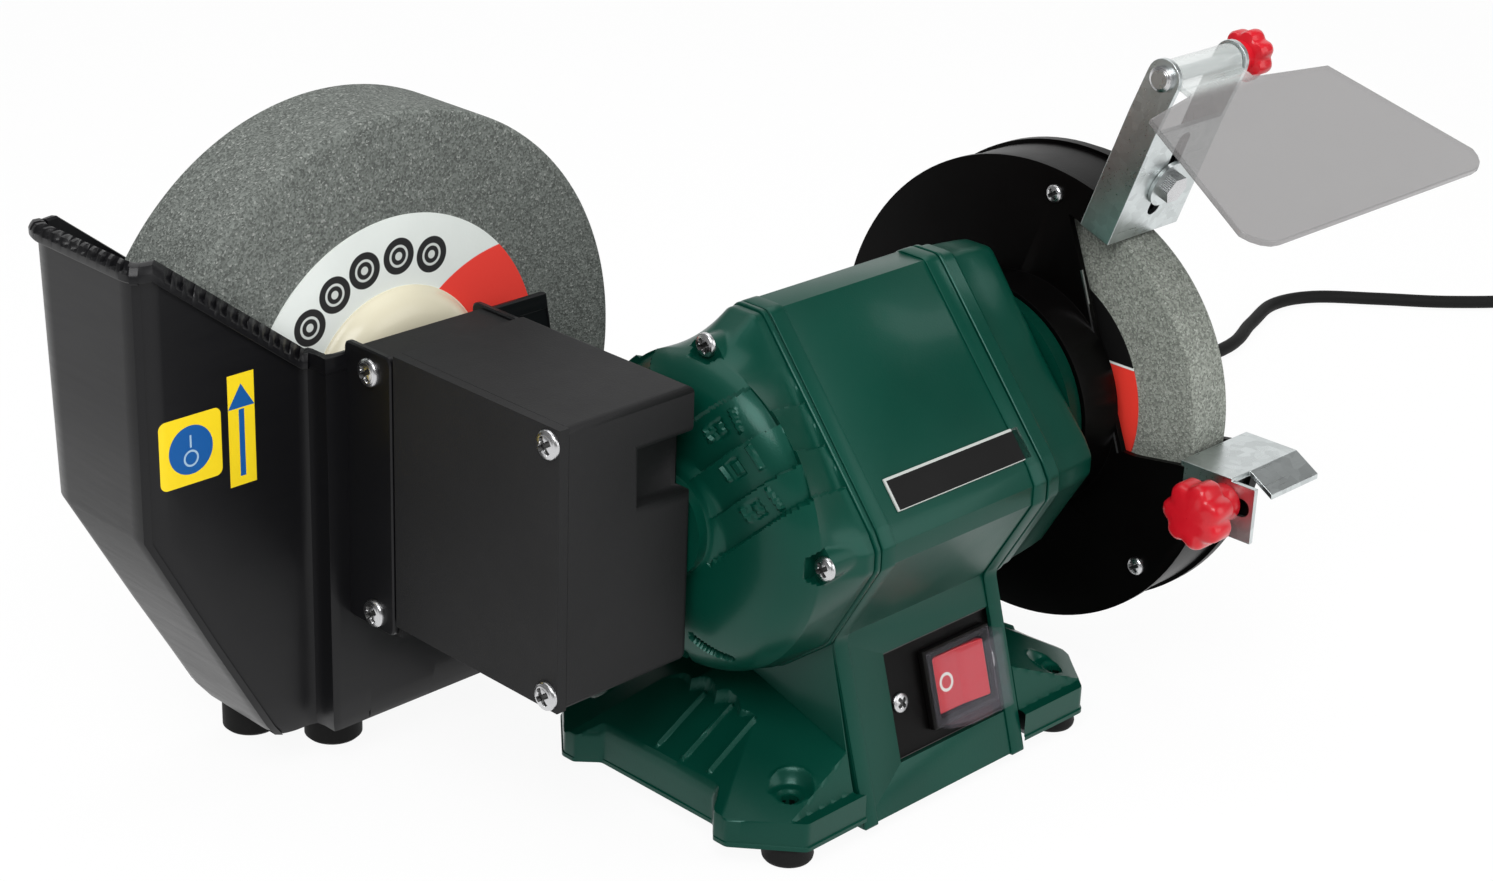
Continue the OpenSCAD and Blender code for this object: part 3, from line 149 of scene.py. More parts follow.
class Paint:
    """A finish: one Principled shader, with the nodes that vary it over a piece."""

    def __init__(self, name, colour, roughness, metallic=0.0, coat=0.0, specular=0.5, tint=(1, 1, 1)):
        self.material = bpy.data.materials.new(name)
        self.material.use_nodes = True
        self.tree = self.material.node_tree
        self.shader = self.tree.nodes["Principled BSDF"]
        sockets = self.shader.inputs
        sockets["Base Color"].default_value = (*colour, 1.0)
        sockets["Roughness"].default_value = roughness
        sockets["Metallic"].default_value = metallic
        sockets["Coat Weight"].default_value = coat
        sockets["Coat Roughness"].default_value = 0.12
        sockets["Specular IOR Level"].default_value = specular
        sockets["Specular Tint"].default_value = (*tint, 1.0)
        self.material.diffuse_color = (*colour, 1.0)
        self.coordinates = None

    def node(self, kind, settings, values):
        """Adds a node: its settings first, then the values or links of its sockets."""
        node = self.tree.nodes.new(kind)
        for key, value in settings.items():
            if key == "stops":
                ramp = node.color_ramp.elements
                while len(ramp) < len(value):
                    ramp.new(0.5)
                for element, (place, colour) in zip(ramp, value):
                    element.position = place
                    element.color = (*colour, 1.0)
            else:
                setattr(node, key, value)
        for key, value in values.items():
            if isinstance(value, Term):
                self.tree.links.new(value.socket, node.inputs[key])
            else:
                node.inputs[key].default_value = value
        return node

    def term(self, node, output=0):
        """One of a node's outputs, ready for an expression."""
        return Term(self, node.outputs[output])

    def place(self):
        """Object coordinates, in metres."""
        if self.coordinates is None:
            self.coordinates = self.term(self.node("ShaderNodeTexCoord", {}, {}), "Object")
        return self.coordinates

    def axes(self):
        """Object coordinates as three values, in millimetres."""
        split = self.node("ShaderNodeSeparateXYZ", {}, {0: self.place()})
        return [self.term(split, k) * 1000 for k in range(3)]

    def stretched(self, scale):
        """Object coordinates scaled, for a pattern that runs one way."""
        return self.term(self.node("ShaderNodeMapping", {}, {"Vector": self.place(), "Scale": scale}))

    def noise(self, per_metre, detail=3.0, rough=0.55, vector=None):
        """Soft random clouds, from 0 to 1."""
        values = {"Vector": vector or self.place(), "Scale": per_metre, "Detail": detail, "Roughness": rough}
        return self.term(self.node("ShaderNodeTexNoise", {}, values))

    def cells(self, per_metre, output="Distance"):
        """Random cells: how far each place is from its cell's point, or each cell's own random Color."""
        values = {"Vector": self.place(), "Scale": per_metre}
        return self.term(self.node("ShaderNodeTexVoronoi", {"feature": "F1"}, values), output)

    def cell_shades(self, per_metre):
        """A random value for each cell."""
        return self.term(self.node("ShaderNodeSeparateColor", {}, {0: self.cells(per_metre, "Color")}))

    def mixed(self, factor, a, b):
        """Colour a where the factor is 0 and b where it is 1."""
        node = self.node("ShaderNodeMix", {"data_type": "RGBA"}, {"Factor": factor})
        for index, value in ((6, a), (7, b)):
            if isinstance(value, Term):
                self.tree.links.new(value.socket, node.inputs[index])
            else:
                node.inputs[index].default_value = (*value, 1.0)
        return Term(self, node.outputs[2])

    def set(self, name, value):
        """Links a value to one of the shader's sockets."""
        self.tree.links.new(value.socket, self.shader.inputs[name])

    def bump(self, height, depth):
        """Raises the surface by the height value times depth, in metres."""
        node = self.node("ShaderNodeBump", {}, {"Height": height, "Distance": depth})
        self.set("Normal", self.term(node))


def shade(colour, by):
    """A colour made lighter or darker."""
    return tuple(min(1.0, c * by) for c in colour)


# --- Mesh work -----------------------------------------------------------------------------------


def piece(name, points, faces, body, finish, sharp=35, slots=None):
    """Makes a piece from points in millimetres, turned outwards and shaded smooth below the sharp angle.

    finish is one material, or several with slots giving each face's place in the list."""
    finishes = finish if isinstance(finish, (list, tuple)) else [finish]
    mesh = bpy.data.meshes.new(name)
    mesh.from_pydata((np.asarray(points, float).reshape(-1, 3) * MM).tolist(), [], faces)
    for item in finishes:
        mesh.materials.append(item)
    if slots is not None:
        mesh.polygons.foreach_set("material_index", np.asarray(slots, np.int32))
    work = bmesh.new()
    work.from_mesh(mesh)
    bmesh.ops.remove_doubles(work, verts=work.verts, dist=1e-6)
    bmesh.ops.recalc_face_normals(work, faces=work.faces)
    work.to_mesh(mesh)
    work.free()
    mesh.shade_smooth()
    mesh.set_sharp_from_angle(angle=math.radians(sharp))
    obj = bpy.data.objects.new(name, mesh)
    bpy.context.scene.collection.objects.link(obj)
    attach(obj, body)
    return obj


def skin(rows, ring=True, caps=True, start=0):
    """Faces over a grid of points: rows[i, j] runs along the piece with i and round it with j."""
    n, m = rows.shape[:2]
    i, j = np.mgrid[0 : n - 1, 0 : m if ring else m - 1]
    a = i * m + j
    b = i * m + (j + 1) % m
    faces = (np.stack([a, b, b + m, a + m], -1).reshape(-1, 4) + start).tolist()
    if caps:
        faces.append([start + k for k in range(m)][::-1])
        faces.append([start + (n - 1) * m + k for k in range(m)])
    return faces


def loft(name, rows, body, finish, sharp=35, caps=True, ring=True):
    """A skin carried through rows of points, closed round and with flat ends unless ring or caps is off."""
    rows = np.asarray(rows, float)
    return piece(name, rows.reshape(-1, 3), skin(rows, ring, caps), body, finish, sharp)


def several(name, shells, body, finish, sharp=35, caps=True):
    """One piece made of several skins, each a grid of rows, with flat ends unless caps is off."""
    points, faces = [], []
    for rows in shells:
        faces += skin(rows, caps=caps, start=sum(len(p) for p in points))
        points.append(np.asarray(rows, float).reshape(-1, 3))
    return piece(name, np.concatenate(points), faces, body, finish, sharp)


def rounded(corners, radius, steps=6):
    """A closed outline with its corners rounded: each corner becomes an arc, drawn as a quadratic curve."""
    p = np.asarray(corners, float)
    radius = np.broadcast_to(np.asarray(radius, float), len(p))[:, None]
    u, v = np.roll(p, 1, 0) - p, np.roll(p, -1, 0) - p
    lu, lv = np.linalg.norm(u, axis=1, keepdims=True), np.linalg.norm(v, axis=1, keepdims=True)
    u, v = u / lu, v / lv
    half = np.arccos(np.clip((u * v).sum(1, keepdims=True), -0.9999, 0.9999)) / 2
    reach = np.minimum(radius / np.tan(half), 0.48 * np.minimum(lu, lv))
    t = np.linspace(0, 1, steps)[None, :, None]
    arc = p[:, None] + (u * reach)[:, None] * (1 - t) ** 2 + (v * reach)[:, None] * t**2
    return arc.reshape(-1, p.shape[1])


def turned(profile, axis, centre, sides=96):
    """Rows of a turned shape: the profile gives radius and place along the axis, which is x, y or z."""
    profile = np.asarray(profile, float)
    a = np.linspace(0, 2 * math.pi, sides, endpoint=False)
    r, s = profile[:, 0][:, None], profile[:, 1][:, None]
    u, w = r * np.cos(a), r * np.sin(a)
    along = s + 0 * a
    if axis == "x":
        return np.stack([along, centre[0] + u, centre[1] + w], -1)
    if axis == "y":
        return np.stack([centre[0] + u, along, centre[1] + w], -1)
    return np.stack([centre[0] + u, centre[1] + w, along], -1)


def along_x(outline, stations):
    """Rows of one outline in Y and Z at stations along X; stations may give each its own outline."""
    outline = np.asarray(outline, float)
    rows = np.empty((len(stations), len(outline), 3))
    rows[:, :, 0] = np.asarray(stations, float)[:, None]
    rows[:, :, 1:] = outline
    return rows


def inset(outline, width):
    """The outline moved inwards; its points run anticlockwise."""
    p = np.asarray(outline, float)
    u, v = p - np.roll(p, 1, 0), np.roll(p, -1, 0) - p
    u /= np.linalg.norm(u, axis=1, keepdims=True)
    v /= np.linalg.norm(v, axis=1, keepdims=True)
    m = np.stack([-u[:, 1], u[:, 0]], -1)
    n = np.stack([-v[:, 1], v[:, 0]], -1)
    return p + width * (m + n) / (1 + (m * n).sum(1, keepdims=True))


def softened(node, name, body, finish, width, segments=2, angle=28, sharp=40, long=0.0):
    """A copy of a CAD piece with its edges rounded: doubles merged, flat faces joined, then bevelled.

    long, in millimetres, rounds only the outer edges that are longer than it, on the gearbox's front part."""
    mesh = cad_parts[node].data.copy()
    mesh.name = name
    work = bmesh.new()
    work.from_mesh(mesh)
    bmesh.ops.remove_doubles(work, verts=work.verts, dist=2e-6)
    bmesh.ops.dissolve_limit(work, angle_limit=math.radians(0.8), verts=work.verts, edges=work.edges)
    if long:
        weight = work.edges.layers.float.new("bevel_weight_edge")
        for edge in work.edges:
            outer = len(edge.link_faces) == 2 and edge.is_convex
            bent = outer and edge.calc_face_angle() > math.radians(angle)
            middle = (edge.verts[0].co + edge.verts[1].co) / 2 / MM
            ahead = middle.x > GEAR_R - BODY_LENGTH and middle.y < BODY_FRONT
            edge[weight] = float(bent and ahead and edge.calc_length() > long * MM)
    work.to_mesh(mesh)
    work.free()
    mesh.materials.clear()
    mesh.materials.append(finish)
    mesh.shade_smooth()
    mesh.set_sharp_from_angle(angle=math.radians(sharp))
    obj = bpy.data.objects.new(name, mesh)
    bpy.context.scene.collection.objects.link(obj)
    bevel = obj.modifiers.new("Rounded edges", "BEVEL")
    bevel.width = width * MM
    bevel.segments = segments
    bevel.limit_method = "WEIGHT" if long else "ANGLE"
    bevel.angle_limit = math.radians(angle)
    bevel.use_clamp_overlap = not long
    bevel.harden_normals = True
    bevel.miter_outer = "MITER_ARC"
    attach(obj, body)
    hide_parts(node)
    return obj


def islands(node):
    """The points of each separate body of a node, in millimetres."""
    work = bmesh.new()
    work.from_mesh(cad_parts[node].data)
    work.transform(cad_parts[node].matrix_world)
    bmesh.ops.remove_doubles(work, verts=work.verts, dist=2e-6)
    left, found = set(work.verts), []
    while left:
        group, edge = set(), [left.pop()]
        while edge:
            vert = edge.pop()
            group.add(vert)
            near = {e.other_vert(vert) for e in vert.link_edges} & left
            left -= near
            edge.extend(near)
        found.append(np.array([vert.co[:] for vert in group]) / MM)
    work.free()
    return sorted(found, key=lambda points: tuple(points.mean(0).round(1)))


def crossed_screws(node, name, direction, head=2.4):
    """Pan-head screws in place of a node's: each body gives a screw's axis, its radii and where its head is.

    The head's top falls away as a power of the radius, and a cross sinks into it where the place lies near
    either of two lines square to each other."""
    share = np.concatenate([[0.01, 0.08], np.arange(0.15, 0.65, 0.07), [0.72, 0.8, 0.88, 0.95, 1.0]])
    rows, deep, faces, start = [], [], [], 0
    for points in islands(node):
        d = np.asarray(direction, float) / np.linalg.norm(direction)
        s = points @ d
        centre = points - s[:, None] * d
        centre = (centre.max(0) + centre.min(0)) / 2
        far = np.linalg.norm(points - s[:, None] * d - centre, axis=1)
        if far[s < s.min() + head].max() > far[s > s.max() - head].max() + 0.3:
            d, s = -d, -s
        top, bottom, wide = s.max(), s.min(), far.max()
        shank = far[s < top - head - 0.5].max()
        rise = top - 0.55 * head * share**2.6
        rise[-1] = top - 0.7 * head
        shaft = [(wide, top - head), (shank, top - head), (shank, bottom), (0.01, bottom)]
        screw = turned_about(np.concatenate([np.column_stack([share * wide, rise]), shaft]), centre, d, 72)
        radial = screw - centre
        radial -= (radial @ d)[..., None] * d
        side = np.cross(d, [0.0, 0.0, 1.0])
        side /= np.linalg.norm(side)
        other, tilt = np.cross(d, side), 0.6
        u = np.abs(radial @ (side * math.cos(tilt) + other * math.sin(tilt)))
        w = np.abs(radial @ (other * math.cos(tilt) - side * math.sin(tilt)))
        arm, tip = 0.13 * wide, 0.56 * wide
        bars = [(1 - ramp(a, arm, arm + 0.25)) * (1 - ramp(b, tip, tip + 0.3)) for a, b in ((u, w), (w, u))]
        cross = np.maximum(*bars)
        cross[len(share) :] = 0
        screw = screw - (0.55 * head * cross)[..., None] * d
        rows.append(screw.reshape(-1, 3))
        faces += skin(screw, caps=False, start=start)
        # Faces sunk deep in the cross take a dark steel: painted shade in the recess
        deep.append((cross > 0.5)[:-1].reshape(-1))
        start += screw.shape[0] * screw.shape[1]
    metals = [finishes["steel"], finishes["recess"]]
    obj = piece(name, np.concatenate(rows), faces, "frame", metals, 40, np.concatenate(deep).astype(int))
    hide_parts(node)
    return obj


# --- Sizes and colours that a user may change ----------------------------------------------------


def colour_choice(name, text, default):
    """A colour that a user may change."""
    return bpy.props.FloatVectorProperty(
        name=name, description=text, subtype="COLOR", size=3, min=0.0, max=1.0, default=default
    )


def length_choice(name, text, default, least=0.0):
    """A length that a user may change, in metres."""
    return bpy.props.FloatProperty(
        name=name, description=text, subtype="DISTANCE", unit="LENGTH", min=least, default=default
    )


class GrinderColours(bpy.types.PropertyGroup):
    """Colours of the finishes."""

    enamel: colour_choice("Housing", "Green of the moulded housing", (0.0004, 0.034, 0.0215))
    gearbox: colour_choice("Gearbox", "Charcoal of the gearbox", (0.0095, 0.0095, 0.0100))
    trough: colour_choice("Trough", "Black of the water trough", (0.0040, 0.0040, 0.0048))
    guard: colour_choice("Guard", "Black of the wheel guard", (0.0012, 0.0010, 0.0010))
    zinc: colour_choice("Zinc", "Plated sheet of the bracket and the tool rest", (0.60, 0.64, 0.64))
    steel: colour_choice("Steel", "Screws, nuts and shafts", (0.62, 0.62, 0.63))
    wet_stone: colour_choice("Wet stone", "Grey of the large wheel", (0.122, 0.133, 0.123))
    dry_stone: colour_choice("Dry stone", "Grey of the small wheel", (0.215, 0.232, 0.205))
    paper: colour_choice("Paper", "White of the wheel's label", (0.76, 0.80, 0.77))
    red: colour_choice("Red", "Red of the label's sector", (0.83, 0.045, 0.030))
    cream: colour_choice("Hub", "Cream of the wheel's hub", (0.62, 0.58, 0.44))
    knob: colour_choice("Knobs", "Red of the knobs and the rocker", (0.52, 0.005, 0.014))
    shield: colour_choice("Eye shield", "Tint of the clear shield", (0.155, 0.148, 0.148))


class CordSizes(bpy.types.PropertyGroup):
    """Sizes of the mains cord and its coil."""

    width: length_choice("Diameter", "Diameter of the cord", 0.0065, 0.004)
    inner: length_choice("Inner turn", "Radius of the coil's inner turns", 0.0325, 0.02)
    outer: length_choice("Outer turn", "Radius of the coil's outer turns", 0.0391, 0.02)


class HousingSizes(bpy.types.PropertyGroup):
    """Fine forms of the housing."""

    edge: length_choice("Edge round", "Rounding of the housing's moulded edges", 0.0012, 0.0002)
    band: length_choice("Rim height", "How far the barrel's end rims stand proud", 0.0008)


class WheelSizes(bpy.types.PropertyGroup):
    """Marks of the wheels."""

    dot_ring: length_choice("Disc ring", "Radius of the ring of black discs on the label", 0.049, 0.03)
    dot: length_choice("Disc", "Radius of one black disc", 0.0066, 0.002)


class StageLights(bpy.types.PropertyGroup):
    """Light on the stage."""

    key: bpy.props.FloatProperty(
        name="Key", description="Power of the key light", unit="POWER", min=0.0, default=20.0
    )
    fill: bpy.props.FloatProperty(
        name="Fill", description="Power of the fill light", unit="POWER", min=0.0, default=8.0
    )
    sky: bpy.props.FloatProperty(
        name="Sky", description="Strength of the even light", min=0.0, max=2.0, default=0.5
    )
    gleam: bpy.props.FloatProperty(
        name="Gleam", description="Strength of the even light in a gloss", min=0.0, max=2.0, default=0.22
    )


# --- Finishes ------------------------------------------------------------------------------------

finishes = {}


def moulded(name, colour, roughness, grain, depth, coat=0.0, specular=0.3, tint=(1, 1, 1), edges=None):
    """Moulded plastic: a fine pebble grain, a slow shift of tone and rubbed patches of gloss.

    edges gives a node, the pale colour of the lines along its ends and sides and their width along and
    across, in millimetres: on the switch plate these lines are painted highlights of its lit edges, on the
    badge plate a pale border."""
    paint = Paint(name, colour, roughness, coat=coat, specular=specular, tint=tint)
    pebble = paint.noise(grain, 2.0)
    tone = paint.noise(14.0, 2.0)
    wear = paint.noise(55.0, 5.0, 0.65)
    plain = paint.mixed(tone.above(0.5, 0.22), shade(colour, 0.86), shade(colour, 1.14))
    if edges:
        node, pale, along, across = edges
        x, _, z = paint.axes()
        a, b = low(node), high(node)
        middle, half = (a + b) / 2, (b - a) / 2
        ends = (x - middle[0]).size() > half[0] - along
        sides = (z - middle[2]).size() > half[2] - across
        # Pale lines along the ends and sides; on the switch plate they are painted highlights of its lit
        # edges
        plain = paint.mixed(ends.greater(sides), plain, pale)
    paint.set("Base Color", plain)
    paint.set("Roughness", roughness - 0.05 + 0.14 * wear)
    paint.bump(pebble, depth)
    return paint.material


def plated(name, colour, roughness):
    """Plated sheet: pale flakes of crystal, long rolling streaks and a gloss that comes and goes."""
    across = 0.25
    paint = Paint(name, colour, roughness, metallic=1.0)
    flakes = paint.cell_shades(260.0)
    streaks = paint.noise(1.0, 3.0, vector=paint.stretched((60.0, 900.0, 900.0)))
    stains = paint.noise(45.0, 4.0)
    light = 0.45 * flakes + 0.35 * streaks + 0.2 * stains
    paint.set("Base Color", paint.mixed(light, shade(colour, 0.80), shade(colour, 1.22)))
    paint.set("Roughness", roughness - 0.5 * across + across * (0.6 * streaks + 0.4 * stains))
    paint.bump(streaks, 0.00003)
    return paint.material


def machined(name, colour, roughness, rings="x", pitch=0.35):
    """Machined metal with fine turning marks about an axis."""
    paint = Paint(name, colour, roughness, metallic=1.0)
    x, y, z = paint.axes()
    along = {"x": x, "y": y, "z": z}[rings]
    marks = (along * (2 * math.pi / pitch)).wave()
    haze = paint.noise(120.0, 4.0)
    paint.set("Base Color", paint.mixed(haze, shade(colour, 0.82), shade(colour, 1.12)))
    paint.set("Roughness", roughness + 0.12 * (haze - 0.5) + 0.03 * marks)
    paint.bump(marks + haze, 0.00001)
    return paint.material


def stone(name, colour, per_metre, dark, light):
    """Vitrified grit: pale and dark grains in a grey bond, pitted between the grains."""
    paint = Paint(name, colour, 0.88, specular=0.3)
    grains = paint.cell_shades(per_metre)
    pits = paint.cells(per_metre)
    haze = paint.noise(60.0, 4.0, 0.7)
    fine = paint.noise(per_metre * 1.7, 2.0)
    shades = 0.55 * grains + 0.25 * fine + 0.2 * haze
    colours = paint.mixed(shades.above(0.5, 0.45), shade(colour, dark), shade(colour, light))
    spark = grains.above(0.96, 0.02)
    paint.set("Base Color", paint.mixed(spark * 0.25, colours, (0.5, 0.5, 0.48)))
    paint.set("Roughness", 0.92 - 0.25 * spark)
    paint.bump(0.6 * pits + 0.4 * fine, 0.00035)
    return paint.material


def ring_label(colours):
    """The large wheel's paper ring: five black discs with a ring and a dot, and one bare red sector.

    A disc is where the distance from its middle is short, and the sector is where the angle lies between a
    slanted line and a straight one."""
    paint = Paint("Paper ring", tuple(colours.paper), 0.62)
    x, _, z = paint.axes()
    u, w = x - ARBOR_X, z - ARBOR_Z
    radius = (u * u + w * w) ** 0.5
    turn = paint.node("ShaderNodeMath", {"operation": "ARCTAN2"}, {0: w, 1: u})
    angle = paint.term(turn) * (180 / math.pi)
    sizes = bpy.context.scene.grinder_wheels
    discs = None
    for place in np.radians([139.0, 122.4, 106.0, 88.5, 71.3]):
        du = u - float(sizes.dot_ring / MM * math.cos(place))
        dw = w - float(sizes.dot_ring / MM * math.sin(place))
        far = (du * du + dw * dw) ** 0.5
        mark = (far - 3.6).size().below(0.45, 0.1).greater(far.below(1.5, 0.1))
        disc = far.below(sizes.dot / MM, 0.12) - mark * 0.8
        discs = disc if discs is None else discs.greater(disc)
    slant = angle - (62.0 - (radius - 35.0) * (18.5 / 27.7))
    sector = slant.below(0.0, 0.25) * angle.above(-24.0, 0.25)
    fibre = paint.noise(900.0, 3.0)
    stains = paint.noise(38.0, 4.0)
    white = paint.mixed(stains, shade(tuple(colours.paper), 0.90), shade(tuple(colours.paper), 1.05))
    with_red = paint.mixed(sector, white, tuple(colours.red))
    paint.set("Base Color", paint.mixed(discs, with_red, (0.012, 0.012, 0.013)))
    paint.set("Roughness", 0.58 + 0.1 * fibre)
    paint.bump(fibre, 0.00004)
    return paint.material


def disc_label(colours):
    """The small wheel's label: black, with a red sector under a thin white line."""
    paint = Paint("Small paper disc", tuple(colours.red), 0.6, specular=0.2)
    _, y, z = paint.axes()
    w = z - MOTOR_Z
    fibre = paint.noise(900.0, 3.0)
    front = y.below(0.0, 0.2)
    sector = w.below(18.9, 0.1) * w.above(-34.0, 0.1) * front
    line = (w - 19.4).size().below(0.45, 0.08) * front
    field = paint.mixed(sector, (0.004, 0.004, 0.004), tuple(colours.red))
    paint.set("Base Color", paint.mixed(line, field, tuple(colours.paper)))
    paint.set("Roughness", 0.55 + 0.12 * fibre)
    paint.bump(fibre, 0.00004)
    return paint.material


def clear(name, tint, alpha, roughness, hinge=None):
    """Clear plastic: tinted, see-through and glossy, hazed by fine scratches and pale round its hinge."""
    paint = Paint(name, tint, roughness, coat=0.4)
    scratches = paint.noise(1.0, 4.0, 0.7, vector=paint.stretched((900.0, 60.0, 60.0)))
    haze = paint.noise(30.0, 3.0)
    plain = paint.mixed(haze, shade(tint, 0.95), shade(tint, 1.05))
    if hinge:
        _, y, z = paint.axes()
        centre = (low(hinge) + high(hinge)) / 2
        boss = (((y - centre[1]) ** 2.0 + (z - centre[2]) ** 2.0) ** 0.5).below(11.0, 2.5)
        plain = paint.mixed(boss, plain, (0.62, 0.66, 0.65))
        alpha = alpha - 0.16 * boss
    paint.set("Base Color", plain)
    paint.set("Roughness", roughness + 0.12 * scratches.above(0.62, 0.08))
    paint.set("Alpha", alpha * (0.97 + 0.06 * haze) + 0.05 * scratches.above(0.66, 0.06))
    paint.bump(haze, 0.00004)
    return paint.material


# Middles of the trough's square sticker and of the strip beside it
SQUARE_X, SQUARE_Z = -199.0, 136.0
STRIP_X, STRIP_Z = -178.7, 137.7


def stickers(colour, roughness):
    """The trough's black plastic, with two yellow stickers on its front wall that carry plain marks."""
    paint = Paint("Trough plastic", colour, roughness, coat=0.05, specular=0.26)
    pebble = paint.noise(2600.0, 2.0)
    tone = paint.noise(12.0, 3.0)
    scuffs = paint.noise(1.0, 4.0, 0.6, vector=paint.stretched((40.0, 40.0, 500.0)))
    x, y, z = paint.axes()
    front = y.below(108.5, 0.3)
    plain = paint.mixed(tone, shade(colour, 0.8), shade(colour, 1.35))
    # A rounded square with a blue disc and a pale ring and stem on it: the square is where the distance to a
    # smaller square stays under its corners' radius. Beside it stands a narrow strip with a blue arrow
    u, w = x - SQUARE_X, z - SQUARE_Z
    du, dw = u.size() - 9.5, w.size() - 9.5
    square = ((du.greater(0.0) ** 2.0 + dw.greater(0.0) ** 2.0) ** 0.5).below(2.6, 0.08) * front
    disc = ((u**2.0 + w**2.0) ** 0.5).below(8.6, 0.08)
    ring = ((u**2.0 + (w + 3.0) ** 2.0) ** 0.5 - 2.6).size().below(0.35, 0.08)
    stem = u.size().below(0.35, 0.06) * (w - 3.0).size().below(2.2, 0.06)
    aside, above = (x - STRIP_X).size(), z - STRIP_Z
    strip = aside.below(5.3, 0.06) * above.size().below(19.9, 0.06) * front
    shaft = aside.below(1.1, 0.06) * (above + 4.7).size().below(12.0, 0.06)
    head = (aside * 1.6 + above).below(16.3, 0.1) * above.above(7.8, 0.06)
    blue = (disc * square).greater(strip * shaft.greater(head))
    yellow = square.greater(strip)
    marked = paint.mixed(yellow, plain, (0.82, 0.60, 0.01))
    mark = ring.greater(stem) * front
    printed = paint.mixed(blue, marked, (0.004, 0.085, 0.30))
    paint.set("Base Color", paint.mixed(mark * 0.7, printed, (0.45, 0.62, 0.72)))
    paint.set("Roughness", roughness - 0.06 + 0.16 * scuffs + 0.1 * yellow)
    paint.bump(pebble * (1 - yellow) + yellow * 1.5, 0.00003)
    return paint.material


def make_finishes(colours):
    """All the finishes, by the name of what they cover."""
    f = finishes
    green, knob_red, steel = tuple(colours.enamel), tuple(colours.knob), tuple(colours.steel)
    gloss = (0.45, 1.0, 0.88)
    f["enamel"] = moulded(
        "Green housing plastic", green, 0.31, 1500.0, 0.00003, coat=0.09, specular=0.30, tint=gloss
    )
    # A near-black green: painted shade for the bell's slots and the insides of the bolt sleeves
    f["enamel_dark"] = moulded("Painted shade green", shade(green, 0.12), 0.6, 1500.0, 0.00003, specular=0.1)
    f["gearbox"] = moulded(
        "Charcoal gearbox plastic", tuple(colours.gearbox), 0.58, 1700.0, 0.00007, specular=0.24
    )
    f["trough"] = stickers(tuple(colours.trough), 0.34)
    f["guard"] = moulded("Black guard paint", tuple(colours.guard), 0.34, 900.0, 0.00002, specular=0.08)
    f["rubber"] = moulded("Black rubber", (0.008,) * 3, 0.62, 1900.0, 0.00005, specular=0.14)
    f["black"] = moulded(
        "Black switch plastic", (0.003, 0.0028, 0.0028), 0.34, 1900.0, 0.00003, specular=0.16
    )
    # Grey lines round the switch plate: painted highlights of its lit edges
    border = ("switch_plate", (0.085, 0.078, 0.078), 0.5, 0.9)
    f["plate_black"] = moulded(
        "Black switch plate", (0.002, 0.0018, 0.0018), 0.3, 1900.0, 0.00002, specular=0.10, edges=border
    )
    border = ("badge_plate", (0.40, 0.42, 0.40), 0.9, 0.75)
    f["badge"] = moulded("Dark badge plate", (0.008,) * 3, 0.38, 600.0, 0.00001, specular=0.12, edges=border)
    f["zinc"] = plated("Zinc plated sheet", tuple(colours.zinc), 0.30)
    f["steel"] = machined("Bright screws", steel, 0.26, "x")
    # A dark steel for the screws' crosses: painted shade in the recess
    f["recess"] = machined("Screw cross painted shade", (0.10, 0.10, 0.10), 0.5, "x")
    f["steel_y"] = machined("Bright arbor", steel, 0.24, "y")
    f["iron"] = machined("Laminated iron", (0.30, 0.30, 0.31), 0.42, "x", 1.0)
    f["copper"] = machined("Copper wire", (0.70, 0.30, 0.13), 0.34, "z", 0.8)
    f["bronze"] = machined("Bronze", (0.62, 0.42, 0.18), 0.34, "y", 0.5)
    f["wet_stone"] = stone("Large grey stone", tuple(colours.wet_stone), 1500.0, 0.50, 1.62)
    f["dry_stone"] = stone("Small grey stone", tuple(colours.dry_stone), 1500.0, 0.50, 1.55)
    f["paper"] = ring_label(colours)
    f["small_paper"] = disc_label(colours)
    f["cream"] = moulded("Cream hub plastic", tuple(colours.cream), 0.34, 1200.0, 0.00002, coat=0.2)
    f["knob"] = moulded("Red knob plastic", knob_red, 0.30, 1400.0, 0.00002, coat=0.3)
    f["shield"] = clear("Clear shield", tuple(colours.shield), 0.58, 0.10, hinge="hinge_bolt")
    f["cap"] = clear("Clear splash cap", (0.22, 0.21, 0.25), 0.10, 0.08)
    f["pale"] = moulded("Pale plastic", (0.66, 0.66, 0.62), 0.42, 1500.0, 0.00002)
    f["plate"] = plated("Dull base sheet", (0.34, 0.35, 0.36), 0.48)
    f["rocker"] = rocker_finish(knob_red)


# Middle of the ring on the rocker
RING_X, RING_Z = 7.5, 39.3


def rocker_finish(colour):
    """Red rocker plastic with a plain pale ring moulded at the end that switches off."""
    paint = Paint("Red rocker plastic", colour, 0.28, coat=0.3)
    x, y, z = paint.axes()
    # The face leans back, so a round ring on it is slightly flatter in Z
    u = x - RING_X
    w = (z - RING_Z) * 1.04
    radius = (u * u + w * w) ** 0.5
    ring = (radius - 2.9).size().below(0.55, 0.08) * y.below(-49.0, 0.2)
    grain = paint.noise(1400.0, 2.0)
    plain = paint.mixed(paint.noise(20.0), shade(colour, 0.9), shade(colour, 1.1))
    paint.set("Base Color", paint.mixed(ring, plain, (0.75, 0.72, 0.68)))
    paint.set("Roughness", 0.24 + 0.12 * grain)
    paint.bump(grain + ring * 2, 0.00003)
    return paint.material


# --- Cord ----------------------------------------------------------------------------------------


